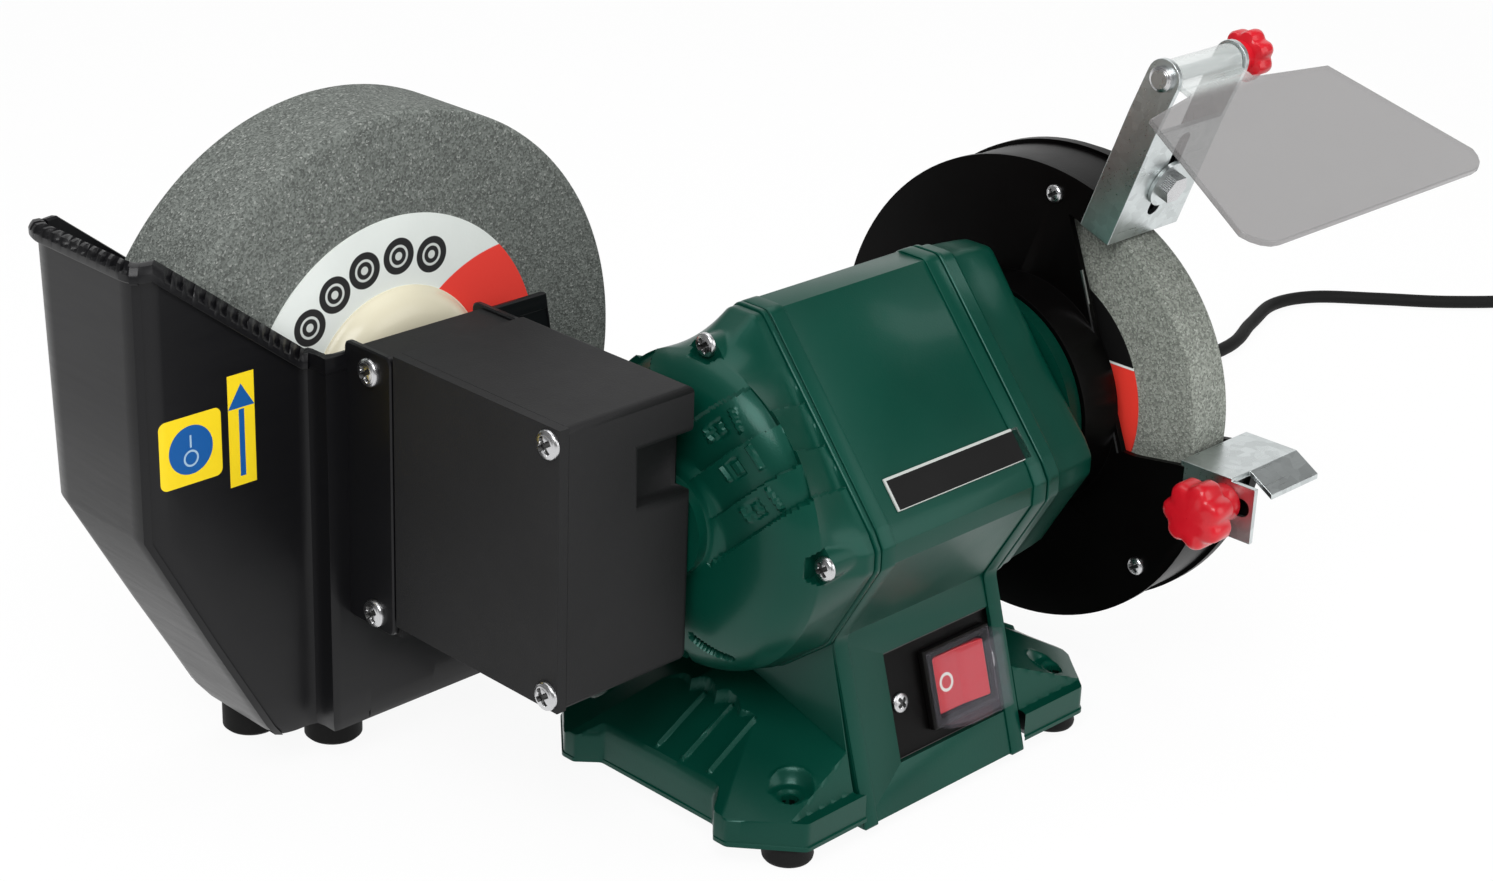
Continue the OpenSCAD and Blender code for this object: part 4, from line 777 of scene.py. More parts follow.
def smooth_path(points, steps):
    """Catmull-Rom curve: each span is a cubic whose ends lean along the chord of their neighbours."""
    p = np.asarray(points, float)
    ends = np.concatenate([p[:1], p, p[-1:]])
    a, b, c, d = (ends[k : len(ends) - 3 + k, None] for k in range(4))
    t = (np.arange(steps) / steps)[None, :, None]
    spans = 0.5 * (2 * b + (c - a) * t + (2 * a - 5 * b + 4 * c - d) * t**2 + (3 * b - a - 3 * c + d) * t**3)
    return np.concatenate([spans.reshape(-1, p.shape[1]), p[-1:]])


def ramp(value, start, end):
    """0 before start, 1 after end, and a cosine rise between."""
    t = np.clip((np.asarray(value, float) - start) / (end - start), 0, 1)
    return 0.5 - 0.5 * np.cos(math.pi * t)


def swept(path, outline):
    """Rows of an outline carried along a path: each is square to it, and its first axis is level."""
    path = np.asarray(path, float)
    along = np.gradient(path, axis=0)
    along /= np.linalg.norm(along, axis=1, keepdims=True)
    side = np.cross(along, [0.0, 0.0, 1.0])
    side /= np.linalg.norm(side, axis=1, keepdims=True)
    up = np.cross(side, along)
    outline = np.asarray(outline, float)
    return path[:, None] + side[:, None] * outline[None, :, :1] + up[:, None] * outline[None, :, 1:]


# Height of the cord's middle on the bench, the coil's middle, and how far aside each of the plug's pins is
LIE = 3.35
COIL = (640.0, 20.0)
PIN_ASIDE = 9.5


def coil_path(sizes):
    """Three and a quarter turns, clockwise from the top: cosine ramps change the radius and the height."""
    inner, outer, rise = sizes.inner / MM, sizes.outer / MM, sizes.width / MM + 0.05
    turn = np.arange(0, 1170 + 1, 6.0)
    radius = outer + (inner - outer) * (ramp(turn, 275, 355) - ramp(turn, 815, 895))
    height = LIE + rise * ramp(turn, 545, 625)
    a = np.radians(turn)
    return np.stack([COIL[0] + radius * np.sin(a), COIL[1] + radius * np.cos(a), height], -1)


# The gland stands square on the pedestal's back face, which leans in
GLAND_LEAN = math.atan2(19.0, 64.5)
GLAND = np.array([10.0, 61.0 - 21.0 * math.tan(GLAND_LEAN), 26.0])
GLAND_OUT = np.array([0.0, math.cos(GLAND_LEAN), math.sin(GLAND_LEAN)])


def cord_path(sizes):
    """The cord's route: a lead from the gland to the coil, the coil's turns, and a tail up to the plug."""
    lead = [
        GLAND + 32.0 * GLAND_OUT, (10, 104, 38), (13, 122, 32), (22, 138, 18), (38, 152, 7), (64, 164, LIE),
        (110, 174, LIE), (180, 176, LIE), (265, 158, LIE), (350, 136, LIE), (425, 130, LIE), (466, 142, LIE),
        (498, 151, LIE), (524, 144, LIE), (548, 120, LIE), (572, 94, LIE), (604, 70, LIE),
        (COIL[0], COIL[1] + sizes.outer / MM, LIE),
    ]
    coil = coil_path(sizes)
    tail = [coil[-1], (681.5, -8, 10.6), (692, -32, 14), (714, -44, 19), (734, -44, 19)]
    path = np.concatenate([smooth_path(lead, 8)[:-1], coil[:-1], smooth_path(tail, 8)])
    path[:, 2] = np.maximum(path[:, 2], LIE)
    return path


def turned_about(profile, base, direction, sides=64):
    """Rows of a turned shape about any axis: profile gives radius and distance from base."""
    d = np.asarray(direction, float) / np.linalg.norm(direction)
    u = np.cross(d, [0.0, 0.0, 1.0])
    u = np.array([1.0, 0, 0]) if np.linalg.norm(u) < 1e-6 else u / np.linalg.norm(u)
    w = np.cross(d, u)
    profile = np.asarray(profile, float)
    a = np.linspace(0, 2 * math.pi, sides, endpoint=False)[None, :, None]
    radius, along = profile[:, 0][:, None, None], profile[:, 1][:, None, None]
    return np.asarray(base) + along * d + radius * (u * np.cos(a) + w * np.sin(a))


class CordOp(bpy.types.Operator):
    """Mains cord with its gland and plug"""

    bl_idname = "grinder.cord"
    bl_label = "Mains cord"

    def execute(self, context):
        sizes = context.scene.grinder_cord
        rubber = finishes["rubber"]
        path = cord_path(sizes)
        a = np.linspace(0, 2 * math.pi, 14, endpoint=False)
        circle = sizes.width / MM / 2 * np.stack([np.cos(a), np.sin(a)], -1)
        cord = loft("mains_cord", swept(path, circle), "frame", rubber)
        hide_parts("cord_lead", "cord_coil", "cord_tail")
        # Gland: a collar and a tapered sleeve with seven grooves
        s = np.linspace(8.0, 32.0, 97)
        sleeve = 6.0 - (s - 8.0) * 1.95 / 24.0
        groove = 0.9 * ((s - 10.0) % 3.2 < 1.0) * (s < 31.0) * (s > 10.0)
        profile = [(0.01, -4), (5, -4), (5, 0), (7.2, 0), (7.5, 0.4), (7.5, 5.4), (7.0, 6.0), (6.2, 7.4)]
        profile += list(zip(sleeve - groove, s)) + [(3.3, 32.0), (0.01, 32.0)]
        rows = turned_about(profile, GLAND, GLAND_OUT, 40)
        gland = loft("cord_gland_sleeve", rows, "frame", rubber, caps=False)
        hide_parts("cord_gland")
        # Plug: a waisted grip with flutes between its neck and its round face
        plug = [
            (0.01, 0), (4.6, 0), (5, 0.5), (5.6, 4), (6.2, 9), (7, 14), (9.4, 17), (12, 20), (13.8, 23),
            (15, 26), (15.6, 31), (15.9, 36), (16, 39.4), (17.6, 40.2), (18.2, 40.6), (18.5, 41.6),
            (18.5, 48.6), (18.0, 49.7), (17.2, 50), (0.01, 50),
        ]
        rows = turned_about(plug, path[-1], (1, 0, 0), 96)
        a = np.linspace(0, 2 * math.pi, 96, endpoint=False)
        grip = np.array([math.exp(-(((s - 31) / 6.0) ** 2)) for _, s in plug])[:, None]
        dent = 1 - 0.07 * grip * (0.5 + 0.5 * np.cos(a * 12))
        rows[:, :, 1:] = path[-1][1:] + (rows[:, :, 1:] - path[-1][1:]) * dent[:, :, None]
        body = loft("plug_grip", rows, "frame", rubber, caps=False)
        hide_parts("plug_body")
        pin = [(0.01, 49), (2.4, 49), (2.4, 67.6), (2.0, 68.6), (1.2, 69), (0.01, 69)]
        places = [path[-1] + (0, side, 0) for side in (-PIN_ASIDE, PIN_ASIDE)]
        pins = [turned_about(pin, place, (1, 0, 0), 32) for place in places]
        metal = several("plug_contacts", pins, "frame", finishes["steel"])
        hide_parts("plug_pins")
        return {"FINISHED"}


# --- Stage ---------------------------------------------------------------------------------------


# The camera's place in millimetres, its yaw, pitch and roll in degrees, and its lens in pixels of the frame
CAMERA_PLACE = (-680.3, -611.8, 510.2)
CAMERA_TURN = (44.79, 22.28, 1.83)
FOCAL_LENGTH, FRAME_WIDTH, LENS_SHIFT = 2837.2, 1493.0, (36.7, -53.5)
SENSOR = 36.0


class StageOp(bpy.types.Operator):
    """Camera, floor and lights"""

    bl_idname = "grinder.stage"
    bl_label = "Stage"

    def execute(self, context):
        scene = context.scene
        camera = bpy.data.cameras.new("Camera")
        camera.sensor_width = SENSOR
        camera.lens = FOCAL_LENGTH * SENSOR / FRAME_WIDTH
        camera.shift_x, camera.shift_y = (shift / FRAME_WIDTH for shift in LENS_SHIFT)
        camera.clip_start, camera.clip_end = 0.05, 20.0
        yaw, pitch, roll = (math.radians(angle) for angle in CAMERA_TURN)
        ahead = Vector((math.cos(yaw) * math.cos(pitch), math.sin(yaw) * math.cos(pitch), -math.sin(pitch)))
        level = Vector((math.sin(yaw), -math.cos(yaw), 0.0))
        upright = level.cross(ahead)
        right = level * math.cos(roll) + upright * math.sin(roll)
        up = upright * math.cos(roll) - level * math.sin(roll)
        turn = Matrix((right, up, -ahead)).transposed().to_4x4()
        eye = bpy.data.objects.new("Camera", camera)
        eye.matrix_world = Matrix.Translation(Vector(CAMERA_PLACE) * MM) @ turn
        scene.collection.objects.link(eye)
        scene.camera = eye
        # Floor that runs back along the diagonal and curves up behind: a line, a quarter circle and a line
        bend, radius = np.radians(np.linspace(-90, 0, 9)), 500.0
        curve = np.stack([2200 + radius * np.cos(bend), radius - 0.3 + radius * np.sin(bend)], -1)
        back, up = np.concatenate([[[-3000, -0.3]], curve, [[2700, 3000]]]).T
        diagonal = 0.7071
        edges = [np.stack([(back - w) * diagonal, (back + w) * diagonal, up], -1) for w in (-3200.0, 3200.0)]
        rows = np.stack(edges, 1)
        paint = Paint("White floor", (0.86, 0.86, 0.86), 0.9, specular=0.0)
        grain = paint.noise(3.0)
        paint.set("Base Color", paint.mixed(grain, (0.85, 0.85, 0.85), (0.87, 0.87, 0.87)))
        path = paint.node("ShaderNodeLightPath", {}, {})
        seen = paint.term(path, "Is Camera Ray")
        for kind in ("Is Glossy Ray", "Is Transmission Ray"):
            seen = seen.greater(paint.term(path, kind))
        glow = paint.node("ShaderNodeEmission", {}, {"Color": (1, 1, 1, 1), "Strength": 1.0})
        blend = paint.node("ShaderNodeMixShader", {}, {0: seen * 0.93})
        out = paint.tree.nodes["Material Output"]
        paint.tree.links.new(paint.shader.outputs[0], blend.inputs[1])
        paint.tree.links.new(glow.outputs[0], blend.inputs[2])
        paint.tree.links.new(blend.outputs[0], out.inputs["Surface"])
        mesh = bpy.data.meshes.new("floor")
        mesh.from_pydata((rows.reshape(-1, 3) * MM).tolist(), [], skin(rows, ring=False, caps=False))
        mesh.materials.append(paint.material)
        mesh.shade_smooth()
        floor = bpy.data.objects.new("floor", mesh)
        scene.collection.objects.link(floor)
        lights = scene.grinder_lights
        world = bpy.data.worlds.new("Even light")
        world.use_nodes = True
        nodes, links = world.node_tree.nodes, world.node_tree.links
        shine = nodes["Background"]
        shine.inputs["Color"].default_value = (1, 1, 1, 1)
        path = nodes.new("ShaderNodeLightPath")
        level = nodes.new("ShaderNodeMapRange")
        level.inputs["To Min"].default_value = lights.sky
        level.inputs["To Max"].default_value = lights.gleam
        links.new(path.outputs["Is Glossy Ray"], level.inputs["Value"])
        seen = nodes.new("ShaderNodeMath")
        seen.operation = "MAXIMUM"
        links.new(path.outputs["Is Camera Ray"], seen.inputs[0])
        links.new(level.outputs[0], seen.inputs[1])
        links.new(seen.outputs[0], shine.inputs["Strength"])
        scene.world = world
        for name, place, size, power, target in (
            ("Key", (-900, -700, 1300), 0.9, lights.key, (0, 0, 100)),
            ("Fill", (600, -1300, 700), 1.1, lights.fill, (0, 0, 100)),
            ("Top", (100, 300, 1500), 1.2, lights.fill, (0, 0, 100)),
        ):
            lamp = bpy.data.lights.new(name, "AREA")
            lamp.energy, lamp.size = power, size
            obj = bpy.data.objects.new(name, lamp)
            obj.location = Vector(place) * MM
            obj.rotation_euler = (Vector(target) * MM - obj.location).to_track_quat("-Z", "Y").to_euler()
            scene.collection.objects.link(obj)
        scene.view_settings.view_transform = "Standard"
        return {"FINISHED"}


class FinishesOp(bpy.types.Operator):
    """Finishes for every piece, and for the pieces inside the motor and the gearbox"""

    bl_idname = "grinder.finishes"
    bl_label = "Finishes"

    def execute(self, context):
        make_finishes(context.scene.grinder_colours)
        for finish, nodes in {
            "enamel": ("motor_barrel", "left_end_bell", "right_end_bell"),
            "plate": ("base_plate",),
            "rubber": (
                "base_feet", "trough_feet", "cord_gland", "cord_lead", "cord_coil", "cord_tail", "plug_body"
            ),
            "steel": (
                "bell_screws", "switch_screws", "gearbox_screws", "trough_screws", "guard_screws",
                "rest_bolt", "spark_bolt", "rotor_shaft", "left_bearing", "right_bearing", "worm",
                "worm_bearing", "hinge_bolt", "plug_pins", "inner_flange", "outer_flange", "wheel_nut",
            ),
            "steel_y": ("arbor_shaft", "arbor_nut"),
            "iron": ("stator_core", "rotor_core"),
            "copper": ("stator_windings",),
            "bronze": ("arbor_bushings", "worm_wheel"),
            "pale": ("run_capacitor", "terminal_block"),
            "black": ("switch_plate", "switch_body", "cooling_fan"),
            "cap": ("switch_cap",),
            "rocker": ("switch_rocker",),
            "badge": ("badge_plate",),
            "gearbox": ("gearbox_case", "gearbox_cover"),
            "trough": ("water_trough",),
            "guard": ("wheel_guard", "guard_cover"),
            "zinc": ("spark_bracket", "tool_rest", "spark_washer"),
            "shield": ("eye_shield",),
            "knob": ("shield_knob", "rest_knob"),
            "wet_stone": ("wet_wheel",),
            "paper": ("wet_wheel_label",),
            "cream": ("front_hub", "back_hub"),
            "dry_stone": ("dry_wheel",),
            "small_paper": ("dry_wheel_label",),
        }.items():
            for node in nodes:
                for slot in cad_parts[node].material_slots:
                    slot.material = finishes[finish]
        return {"FINISHED"}


# --- Housing -------------------------------------------------------------------------------------


def house_outline(grow=0.0):
    """The housing's outline in Y and Z, anticlockwise: a square on its corner, with a flat top and a foot."""
    z = MOTOR_Z
    half = [(-6, z + 67.5), (-58, z + 6), (-61.5, z), (-61.5, z - 7), (-42, z - 41), (-61, 5)]
    return inset(half + [(-y, h) for y, h in reversed(half)], -grow)


def bell_outline():
    """The end bells' outline round the motor axis, anticlockwise, with its corners eased."""
    half = [(-6, 67.5), (-58, 6), (-61.5, 0), (-61.5, -7), (-42, -41), (-20, -58)]
    return rounded(half + [(-y, h) for y, h in reversed(half)], [4, 6, 4, 4, 8, 8, 8, 8, 4, 4, 6, 4], 5)


def reach(outline, angles):
    """How far a convex outline lies from the axis at each angle: the nearest of its sides' lines."""
    p = np.asarray(outline, float)
    side = np.roll(p, -1, 0) - p
    normal = np.stack([side[:, 1], -side[:, 0]], -1)
    normal /= np.linalg.norm(normal, axis=1, keepdims=True)
    height = np.abs((normal * p).sum(1))
    normal *= np.sign((normal * p).sum(1))[:, None]
    facing = np.cos(angles)[:, None] * normal[:, 0] + np.sin(angles)[:, None] * normal[:, 1]
    return np.where(facing > 1e-3, height / np.maximum(facing, 1e-3), 1e9).min(1)


def within(value, start, end, soft):
    """1 between start and end and 0 outside, with ramps as wide as soft."""
    return ramp(value, start - soft, start) * (1 - ramp(value, end, end + soft))


def bar(along, across, a, b, half, soft=0.5):
    """1 within half of the line from a to b, on a surface unrolled into two lengths."""
    (a0, a1), (b0, b1) = a, b
    d0, d1 = b0 - a0, b1 - a1
    t = np.clip(((along - a0) * d0 + (across - a1) * d1) / (d0 * d0 + d1 * d1), 0, 1)
    return 1 - ramp(np.hypot(along - a0 - t * d0, across - a1 - t * d1), half, half + soft)


# Each bell screw's angle about the motor axis and its distance from it, the left bell's shoulder and its face
BELL_SCREWS = ((90.0, 59.5), (-1.0, 57.5), (181.0, 57.5))
DOME_X, DOME_R, FACE_TILT = -23.5, 56.5, 43.0
# Each vent's top and bottom up the face, how deep it starts, and the top and bottom of its limb on the skirt
VENTS = ((23, 7.5, 1.1, 26, 12.7), (7.5, -7.5, 0.4, 12.7, -3), (-7.5, -19.5, 0.4, -3, -18.5))
# The lower and upper end of each vent's bars, and how far out the long bar and the short one stand
VENT_BARS = ((-3.0, 5.5, 47.6, 33.7), (-17.6, -9.6, 46.3, 32.9), (11.5, 19.5, 46.6, 33.7))
# The slots' ends as radius and angle, and the radius on which angles are laid out as lengths
BELL_SLOTS = (((41.0, -75.5), (49.8, -59.3)), ((49.0, -84.9), (56.0, -89.0)))
UNROLL = 50.0


def left_bell_rows():
    """Rows of the left bell from its rim to its nose, and how deep each point lies in a slot.

    Straight lines run from the rim's outline to a round shoulder, and a dome curves in from it to the nose.
    Three stepped vents with bars lie on it, with a pocket for each screw and slots underneath."""
    bead = [(0.2, -1.6), (-0.5, -1.5), (-0.6, 0.5), (-0.9, 0.8), (-2.1, 0.8), (-2.5, 0.5), (-2.7, -0.4)]
    straight = np.concatenate([np.linspace(-3.2, -21.9, 20), [-22.05], np.linspace(-22.6, -23.5, 2)])
    dome = [
        (DOME_X, DOME_R), (-27, 54.7), (-30.5, 51.7), (-33.2, 47.7), (-34.9, 42), (-35.9, 35), (-36.3, 27),
        (-36.5, 19),
    ]
    dome = np.concatenate([smooth_path(dome, 7)[1:], [(-37, 18), (-40.8, 18), (-40.9, 12)]])
    skirt = len(bead) + len(straight)
    x = np.concatenate([[place for place, _ in bead], straight, dome[:, 0]])
    swell = np.concatenate([[grow for _, grow in bead], np.zeros(len(straight) + len(dome))])
    circle = np.concatenate([np.full(skirt, DOME_R), dome[:, 1]])
    angles = np.linspace(0, 2 * math.pi, 480, endpoint=False)
    lean = np.clip((-6.0 - x) / 17.5, 0, 1)[:, None]
    radius = (1 - lean) * reach(bell_outline(), angles) + (lean[:, 0] * circle + swell)[:, None]
    along = np.concatenate([[0], np.cumsum(np.hypot(np.diff(x), np.diff(circle)))])
    out_x, out_r = np.gradient(circle, along)[:, None], -np.gradient(x, along)[:, None]
    # Up the face and out from the axis are measured square to the face. A vent sinks towards its lower edge
    # and then steps out again, and so does the limb of the skirt beside it
    y, z = np.abs(radius * np.cos(angles)), radius * np.sin(angles)
    tilt = math.radians(FACE_TILT)
    up, out = z * math.cos(tilt) - y * math.sin(tilt), y * math.cos(tilt) + z * math.sin(tilt)
    domed = x[:, None] < DOME_X
    height = np.zeros_like(radius)
    for top, bottom, start, limb_top, limb_bottom in VENTS:
        height -= (start + 2.4 * (top - up) / (top - bottom)) * (up <= top) * (up > bottom) * domed
        limb = (up <= limb_top) * (up > limb_bottom) * ~domed
        height -= 1.5 * (limb_top - up) / (limb_top - limb_bottom) * limb
    height *= (x[:, None] < -2.9) * ramp(radius, 19, 24) * (out > 6)

    def patch(bottom, top, inner, outer, soft=0.3):
        """1 within a rectangle on the face, given up it and out from the axis."""
        return within(up, bottom, top, soft) * within(out, inner, outer, 0.3)

    # On each vent stand a long bar and a short one, with a square groove round a square between them
    for foot, tip, edge, inner in VENT_BARS:
        long_bar = patch(foot, tip, edge - 0.9, edge + 0.6, 0.5)
        short_bar = patch(foot + 2.6, tip - 0.8, inner - 0.7, inner + 0.6, 0.5)
        groove = patch(foot + 1.6, tip - 0.6, inner + 3.0, inner + 7.8)
        groove *= 1 - patch(foot + 2.8, tip - 1.8, inner + 4.2, inner + 6.6)
        height += domed * (1.3 * long_bar + 1.0 * short_bar - 0.6 * groove)
    # Slots run between two places of radius and angle below the axis, on the surface unrolled
    side_angle = np.arcsin(np.clip(np.sin(angles), -1, 1))
    slots = np.zeros_like(radius)
    for ends in BELL_SLOTS:
        a, b = (
            (np.interp(-r, -circle[skirt:], along[skirt:]), np.radians(turn) * UNROLL) for r, turn in ends
        )
        slots = np.maximum(slots, bar(along[:, None], side_angle * UNROLL, a, b, 1.2))
    height -= 2.6 * slots
    radius = radius + out_r * height
    x = x[:, None] + out_x * height
    # Screw pockets: a ridge covers each shank, and a teardrop opens in front of its head
    for turn_at, out in BELL_SCREWS:
        side = radius * np.sin(angles - math.radians(turn_at))
        near = np.cos(angles - math.radians(turn_at)) > 0.5
        ridge = out + 2.8 - (side / 7.0) ** 2 * 4.0
        radius = np.where(near & (x > -22.0) & (x < -3.0), np.maximum(radius, ridge), radius)
        gone = np.clip((-22.0 - x) / 11.0, 0, 1)
        floor = out - 4.9 + 3.4 * gone**2 + np.maximum(0, np.abs(side) - 5.4 * np.sqrt(1 - gone)) * 4
        radius = np.where(near & (x < -22.0) & (x > -33.5), np.minimum(radius, floor), radius)
    u, w = radius * np.cos(angles), radius * np.sin(angles)
    rows = np.stack([RIM_L + x + 0 * u, -u, MOTOR_Z + w], -1)
    return rows, slots


def right_bell_rows():
    """Rows of the right bell: a bead at its rim, a skirt that tapers, a rounded shoulder and a plain boss."""
    angles = np.linspace(0, 2 * math.pi, 360, endpoint=False)
    outline = reach(bell_outline(), angles)
    skirt = [
        (0.2, -1.5), (0.6, -1.4), (0.7, 0.5), (1.0, 0.8), (2.2, 0.8), (2.5, 0.5), (2.7, -0.2), (7.6, -0.2),
        (8.2, -0.7), (9, -1.0), (16, -1.5), (23, -2.2), (28, -2.9), (29.6, -3.5), (30.6, -4.6), (31.0, -6.0),
    ]
    boss = [(31.0, 47.9), (31.5, 47.4), (39.8, 45.1), (40.7, 44.4), (41.0, 43.4), (41.0, 12.0)]
    radius = np.array([outline + grow for _, grow in skirt] + [np.full(len(angles), r) for _, r in boss])
    x = np.array([x for x, _ in skirt + boss])[:, None]
    u, w = radius * np.cos(angles), radius * np.sin(angles)
    return np.stack([RIM_R + x + 0 * u, -u, MOTOR_Z + w], -1)


def band_rows(profile):
    """Rows of a strip round the housing: the profile is a closed outline of X and height off the surface."""
    outlines = [
        rounded(house_outline(height), [5, 6, 3, 3, 6, 1, 1, 6, 3, 3, 6, 5], 6) for _, height in profile
    ]
    return np.asarray([np.column_stack([np.full(len(p), x), p]) for (x, _), p in zip(profile, outlines)])


class HousingOp(bpy.types.Operator):
    """Barrel, end bells and their rims"""

    bl_idname = "grinder.housing"
    bl_label = "Housing"

    def execute(self, context):
        sizes = context.scene.grinder_housing
        edge = sizes.edge / MM
        shell = softened("motor_barrel", "barrel_shell", "frame", finishes["enamel"], edge)
        right = loft("right_bell_dome", right_bell_rows(), "frame", finishes["enamel"], 30)
        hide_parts("right_end_bell")
        crossed_screws("bell_screws", "bell_pan_screws", (-1, 0, 0))
        rows, slots = left_bell_rows()
        faces = skin(rows)
        # Faces deep in the slots take the near-black green, painted shade in the slots
        deep = (slots > 0.6)[:-1].reshape(-1)
        dark = np.concatenate([deep, [False, False]]).astype(int)
        greens = [finishes["enamel"], finishes["enamel_dark"]]
        bell = piece("left_bell_dome", rows.reshape(-1, 3), faces, "frame", greens, 30, dark)
        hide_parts("left_end_bell")
        h = sizes.band / MM
        for name, x0, x1 in (
            ("left_rim_band", RIM_L + 0.2, RIM_L + 7), ("right_rim_band", RIM_R - 7, RIM_R - 0.2)
        ):
            profile = [
                (x0, -1), (x0, h * 0.6), (x0 + 0.5, h), (x1 - 0.5, h), (x1, h * 0.4), (x1, -1), (x0, -1)
            ]
            band = loft(name, band_rows(profile), "frame", finishes["enamel"], caps=False)
        return {"FINISHED"}


# The bench bolts' places, the radius of their holes, and how far the pedestal's sides lean in per unit up
BOLT_X, BOLT_Y, BORE = 70.0, 50.0, 2.75
FLANK_LEAN = 0.2946
# The lower and upper end of each rib on the ramp, in X and Y
RIBS = (((-80.5, 3.4), (-59.0, 3.2)), ((-80.5, -9.2), (-58.5, -9.7)), ((-80.0, -21.6), (-59.0, -21.2)))


def base_plan(rim):
    """A base's edge from back to front: two pods with cut corners, and a set-back edge between them."""
    half = [(rim, 61.7), (-73.0, 62.0), (-91.0, 41.0), (-91.0, 35.0), (-84.0, 28.0)]
    corners = half + [(x, -y) for x, y in reversed(half)]
    line = rounded(corners, [0.01, 3, 3, 2, 3, 3, 2, 3, 3, 0.01], 4)
    line = line[np.concatenate([[True], np.hypot(*np.diff(line, axis=0).T) > 0.2])]
    steps = np.concatenate([[0], np.cumsum(np.hypot(*np.diff(line, axis=0).T))])
    even = np.linspace(0, steps[-1], 340)
    return np.stack([np.interp(even, steps, line[:, 0]), np.interp(even, steps, line[:, 1])], -1)


def base_height(x, y, plan):
    """Height of a base's top: a sloping flank on each pod, with a terraced scoop round its bolt hole, and
    between the pods a ramp that carries three ribs under a scalloped step."""
    edge = np.min(np.hypot(x[..., None] - plan[:, 0], y[..., None] - plan[:, 1]), -1)
    flank = 21.9 + 0.406 * (x + 84.5) - 0.2955 * (np.abs(y) - 34.7)
    slope = 21.0 + 0.56 * (x + 86.0)
    scallop = -60.0 + 2.6 * np.abs(np.sin((y + 3.0) * math.pi / 12.3))
    step = ramp(x, scallop, scallop + 1.2) * (1 - ramp(np.abs(y + 3), 24, 27))
    z = np.minimum(flank, slope + 4.0 * step)
    for bottom, top in RIBS:
        z = z + 1.5 * bar(x, y, bottom, top, 0.35, 0.7)
    for hole_y in (-BOLT_Y, BOLT_Y):
        far = np.hypot(x + BOLT_X, y - hole_y)
        bowl = np.interp(far, [0, 3.4, 4.8, 7.4, 10.6, 60.0], [22.0, 22.0, 22.9, 23.6, 28.2, 160.0])
        lip = 0.3 * np.exp(-(((far - 5.0) / 0.6) ** 2)) + 0.7 * np.exp(-(((far - 10.0) / 0.8) ** 2))
        z = np.minimum(z, bowl) + lip * ramp(flank - bowl, -1.5, 1.0) * ramp(flank, 22.5, 24.5)
        z = np.where(far < 2.7, 10.0, z)
    return np.minimum(
        np.minimum(z, 18.6 + 2.4 * edge), np.maximum(18.4, 5.0 + (61.0 - np.abs(y)) / FLANK_LEAN)
    )


def base_rows(side):
    """Rows of the base at one end, from its lip up its wall, over its top and up the pedestal's end.

    side is -1 on the left and 1 on the right, which mirrors it."""
    rim = RIM_L + 0.5 if side < 0 else 0.5 - RIM_R
    plan = base_plan(rim)
    wall = -46.0 if side < 0 else -0.8 - RIM_R
    inner = np.stack([np.full(len(plan), wall), plan[:, 1] * 0.95], -1)
    rows = [np.column_stack([plan, np.full(len(plan), h)]) for h in (8.0, 9.4)]
    inwards = np.array([-66.0, 0.0]) - plan
    pulled = plan + inwards / np.linalg.norm(inwards, axis=1, keepdims=True) * 0.6
    rows += [np.column_stack([pulled, np.full(len(plan), h)]) for h in (9.7, 17.6)]
    for t in np.concatenate([[0.008, 0.02], np.linspace(0.035, 1, 76)]):
        at = pulled + (inner - pulled) * t
        rows.append(np.column_stack([at, base_height(at[:, 0], at[:, 1], plan)]))
    last = rows[-1]
    # End wall of the pedestal, which narrows upwards, between the flank and the bell
    for t in (0.0, 0.25, 0.5, 0.75, 1.0):
        z = last[:, 2] + (78.0 - last[:, 2]) * t
        y = np.sign(last[:, 1]) * np.minimum(np.abs(last[:, 1]), 60.6 - (z - 5.0) * FLANK_LEAN)
        rows.append(np.column_stack([np.full(len(z), wall + 0.2 + (rim - wall - 0.2) * t), y, z]))
    rows = np.asarray(rows)
    rows[..., 0] *= -side
    return rows


class BaseOp(bpy.types.Operator):
    """Both ends of the base with their ribs and scoops, the sleeves of the bolt holes, and rubber feet"""

    bl_idname = "grinder.base"
    bl_label = "Base"

    def execute(self, context):
        for side, name in ((-1, "left_base"), (1, "right_base")):
            rows = base_rows(side)
            base = loft(name, rows, "frame", finishes["enamel"], 32, caps=False, ring=False)
        bolts = [(x, y) for x in (-BOLT_X, BOLT_X) for y in (-BOLT_Y, BOLT_Y)]
        sleeve = [(BORE, 9.0), (3.6, 9.0), (3.6, 19.9), (3.2, 20.3), (BORE, 20.3), (BORE, 9.0)]
        sleeves = [turned(sleeve, "z", place, 48) for place in bolts]
        # The sleeves take the near-black green, painted shade inside the bolt holes
        tubes = several("bolt_sleeves", sleeves, "frame", finishes["enamel_dark"], caps=False)
        foot = [
            (BORE, 0), (7.6, 0), (8.3, 0.3), (8.8, 1), (9, 2), (8.6, 4), (8.9, 6), (9, 7.2), (8.8, 8),
            (BORE, 8), (BORE, 0),
        ]
        feet = [turned_about(foot, (x, y, 0), (0, 0, 1), 48) for x, y in bolts]
        pads = several("rubber_feet", feet, "frame", finishes["rubber"], caps=False)
        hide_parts("base_feet")
        return {"FINISHED"}


# --- Gearbox -------------------------------------------------------------------------------------


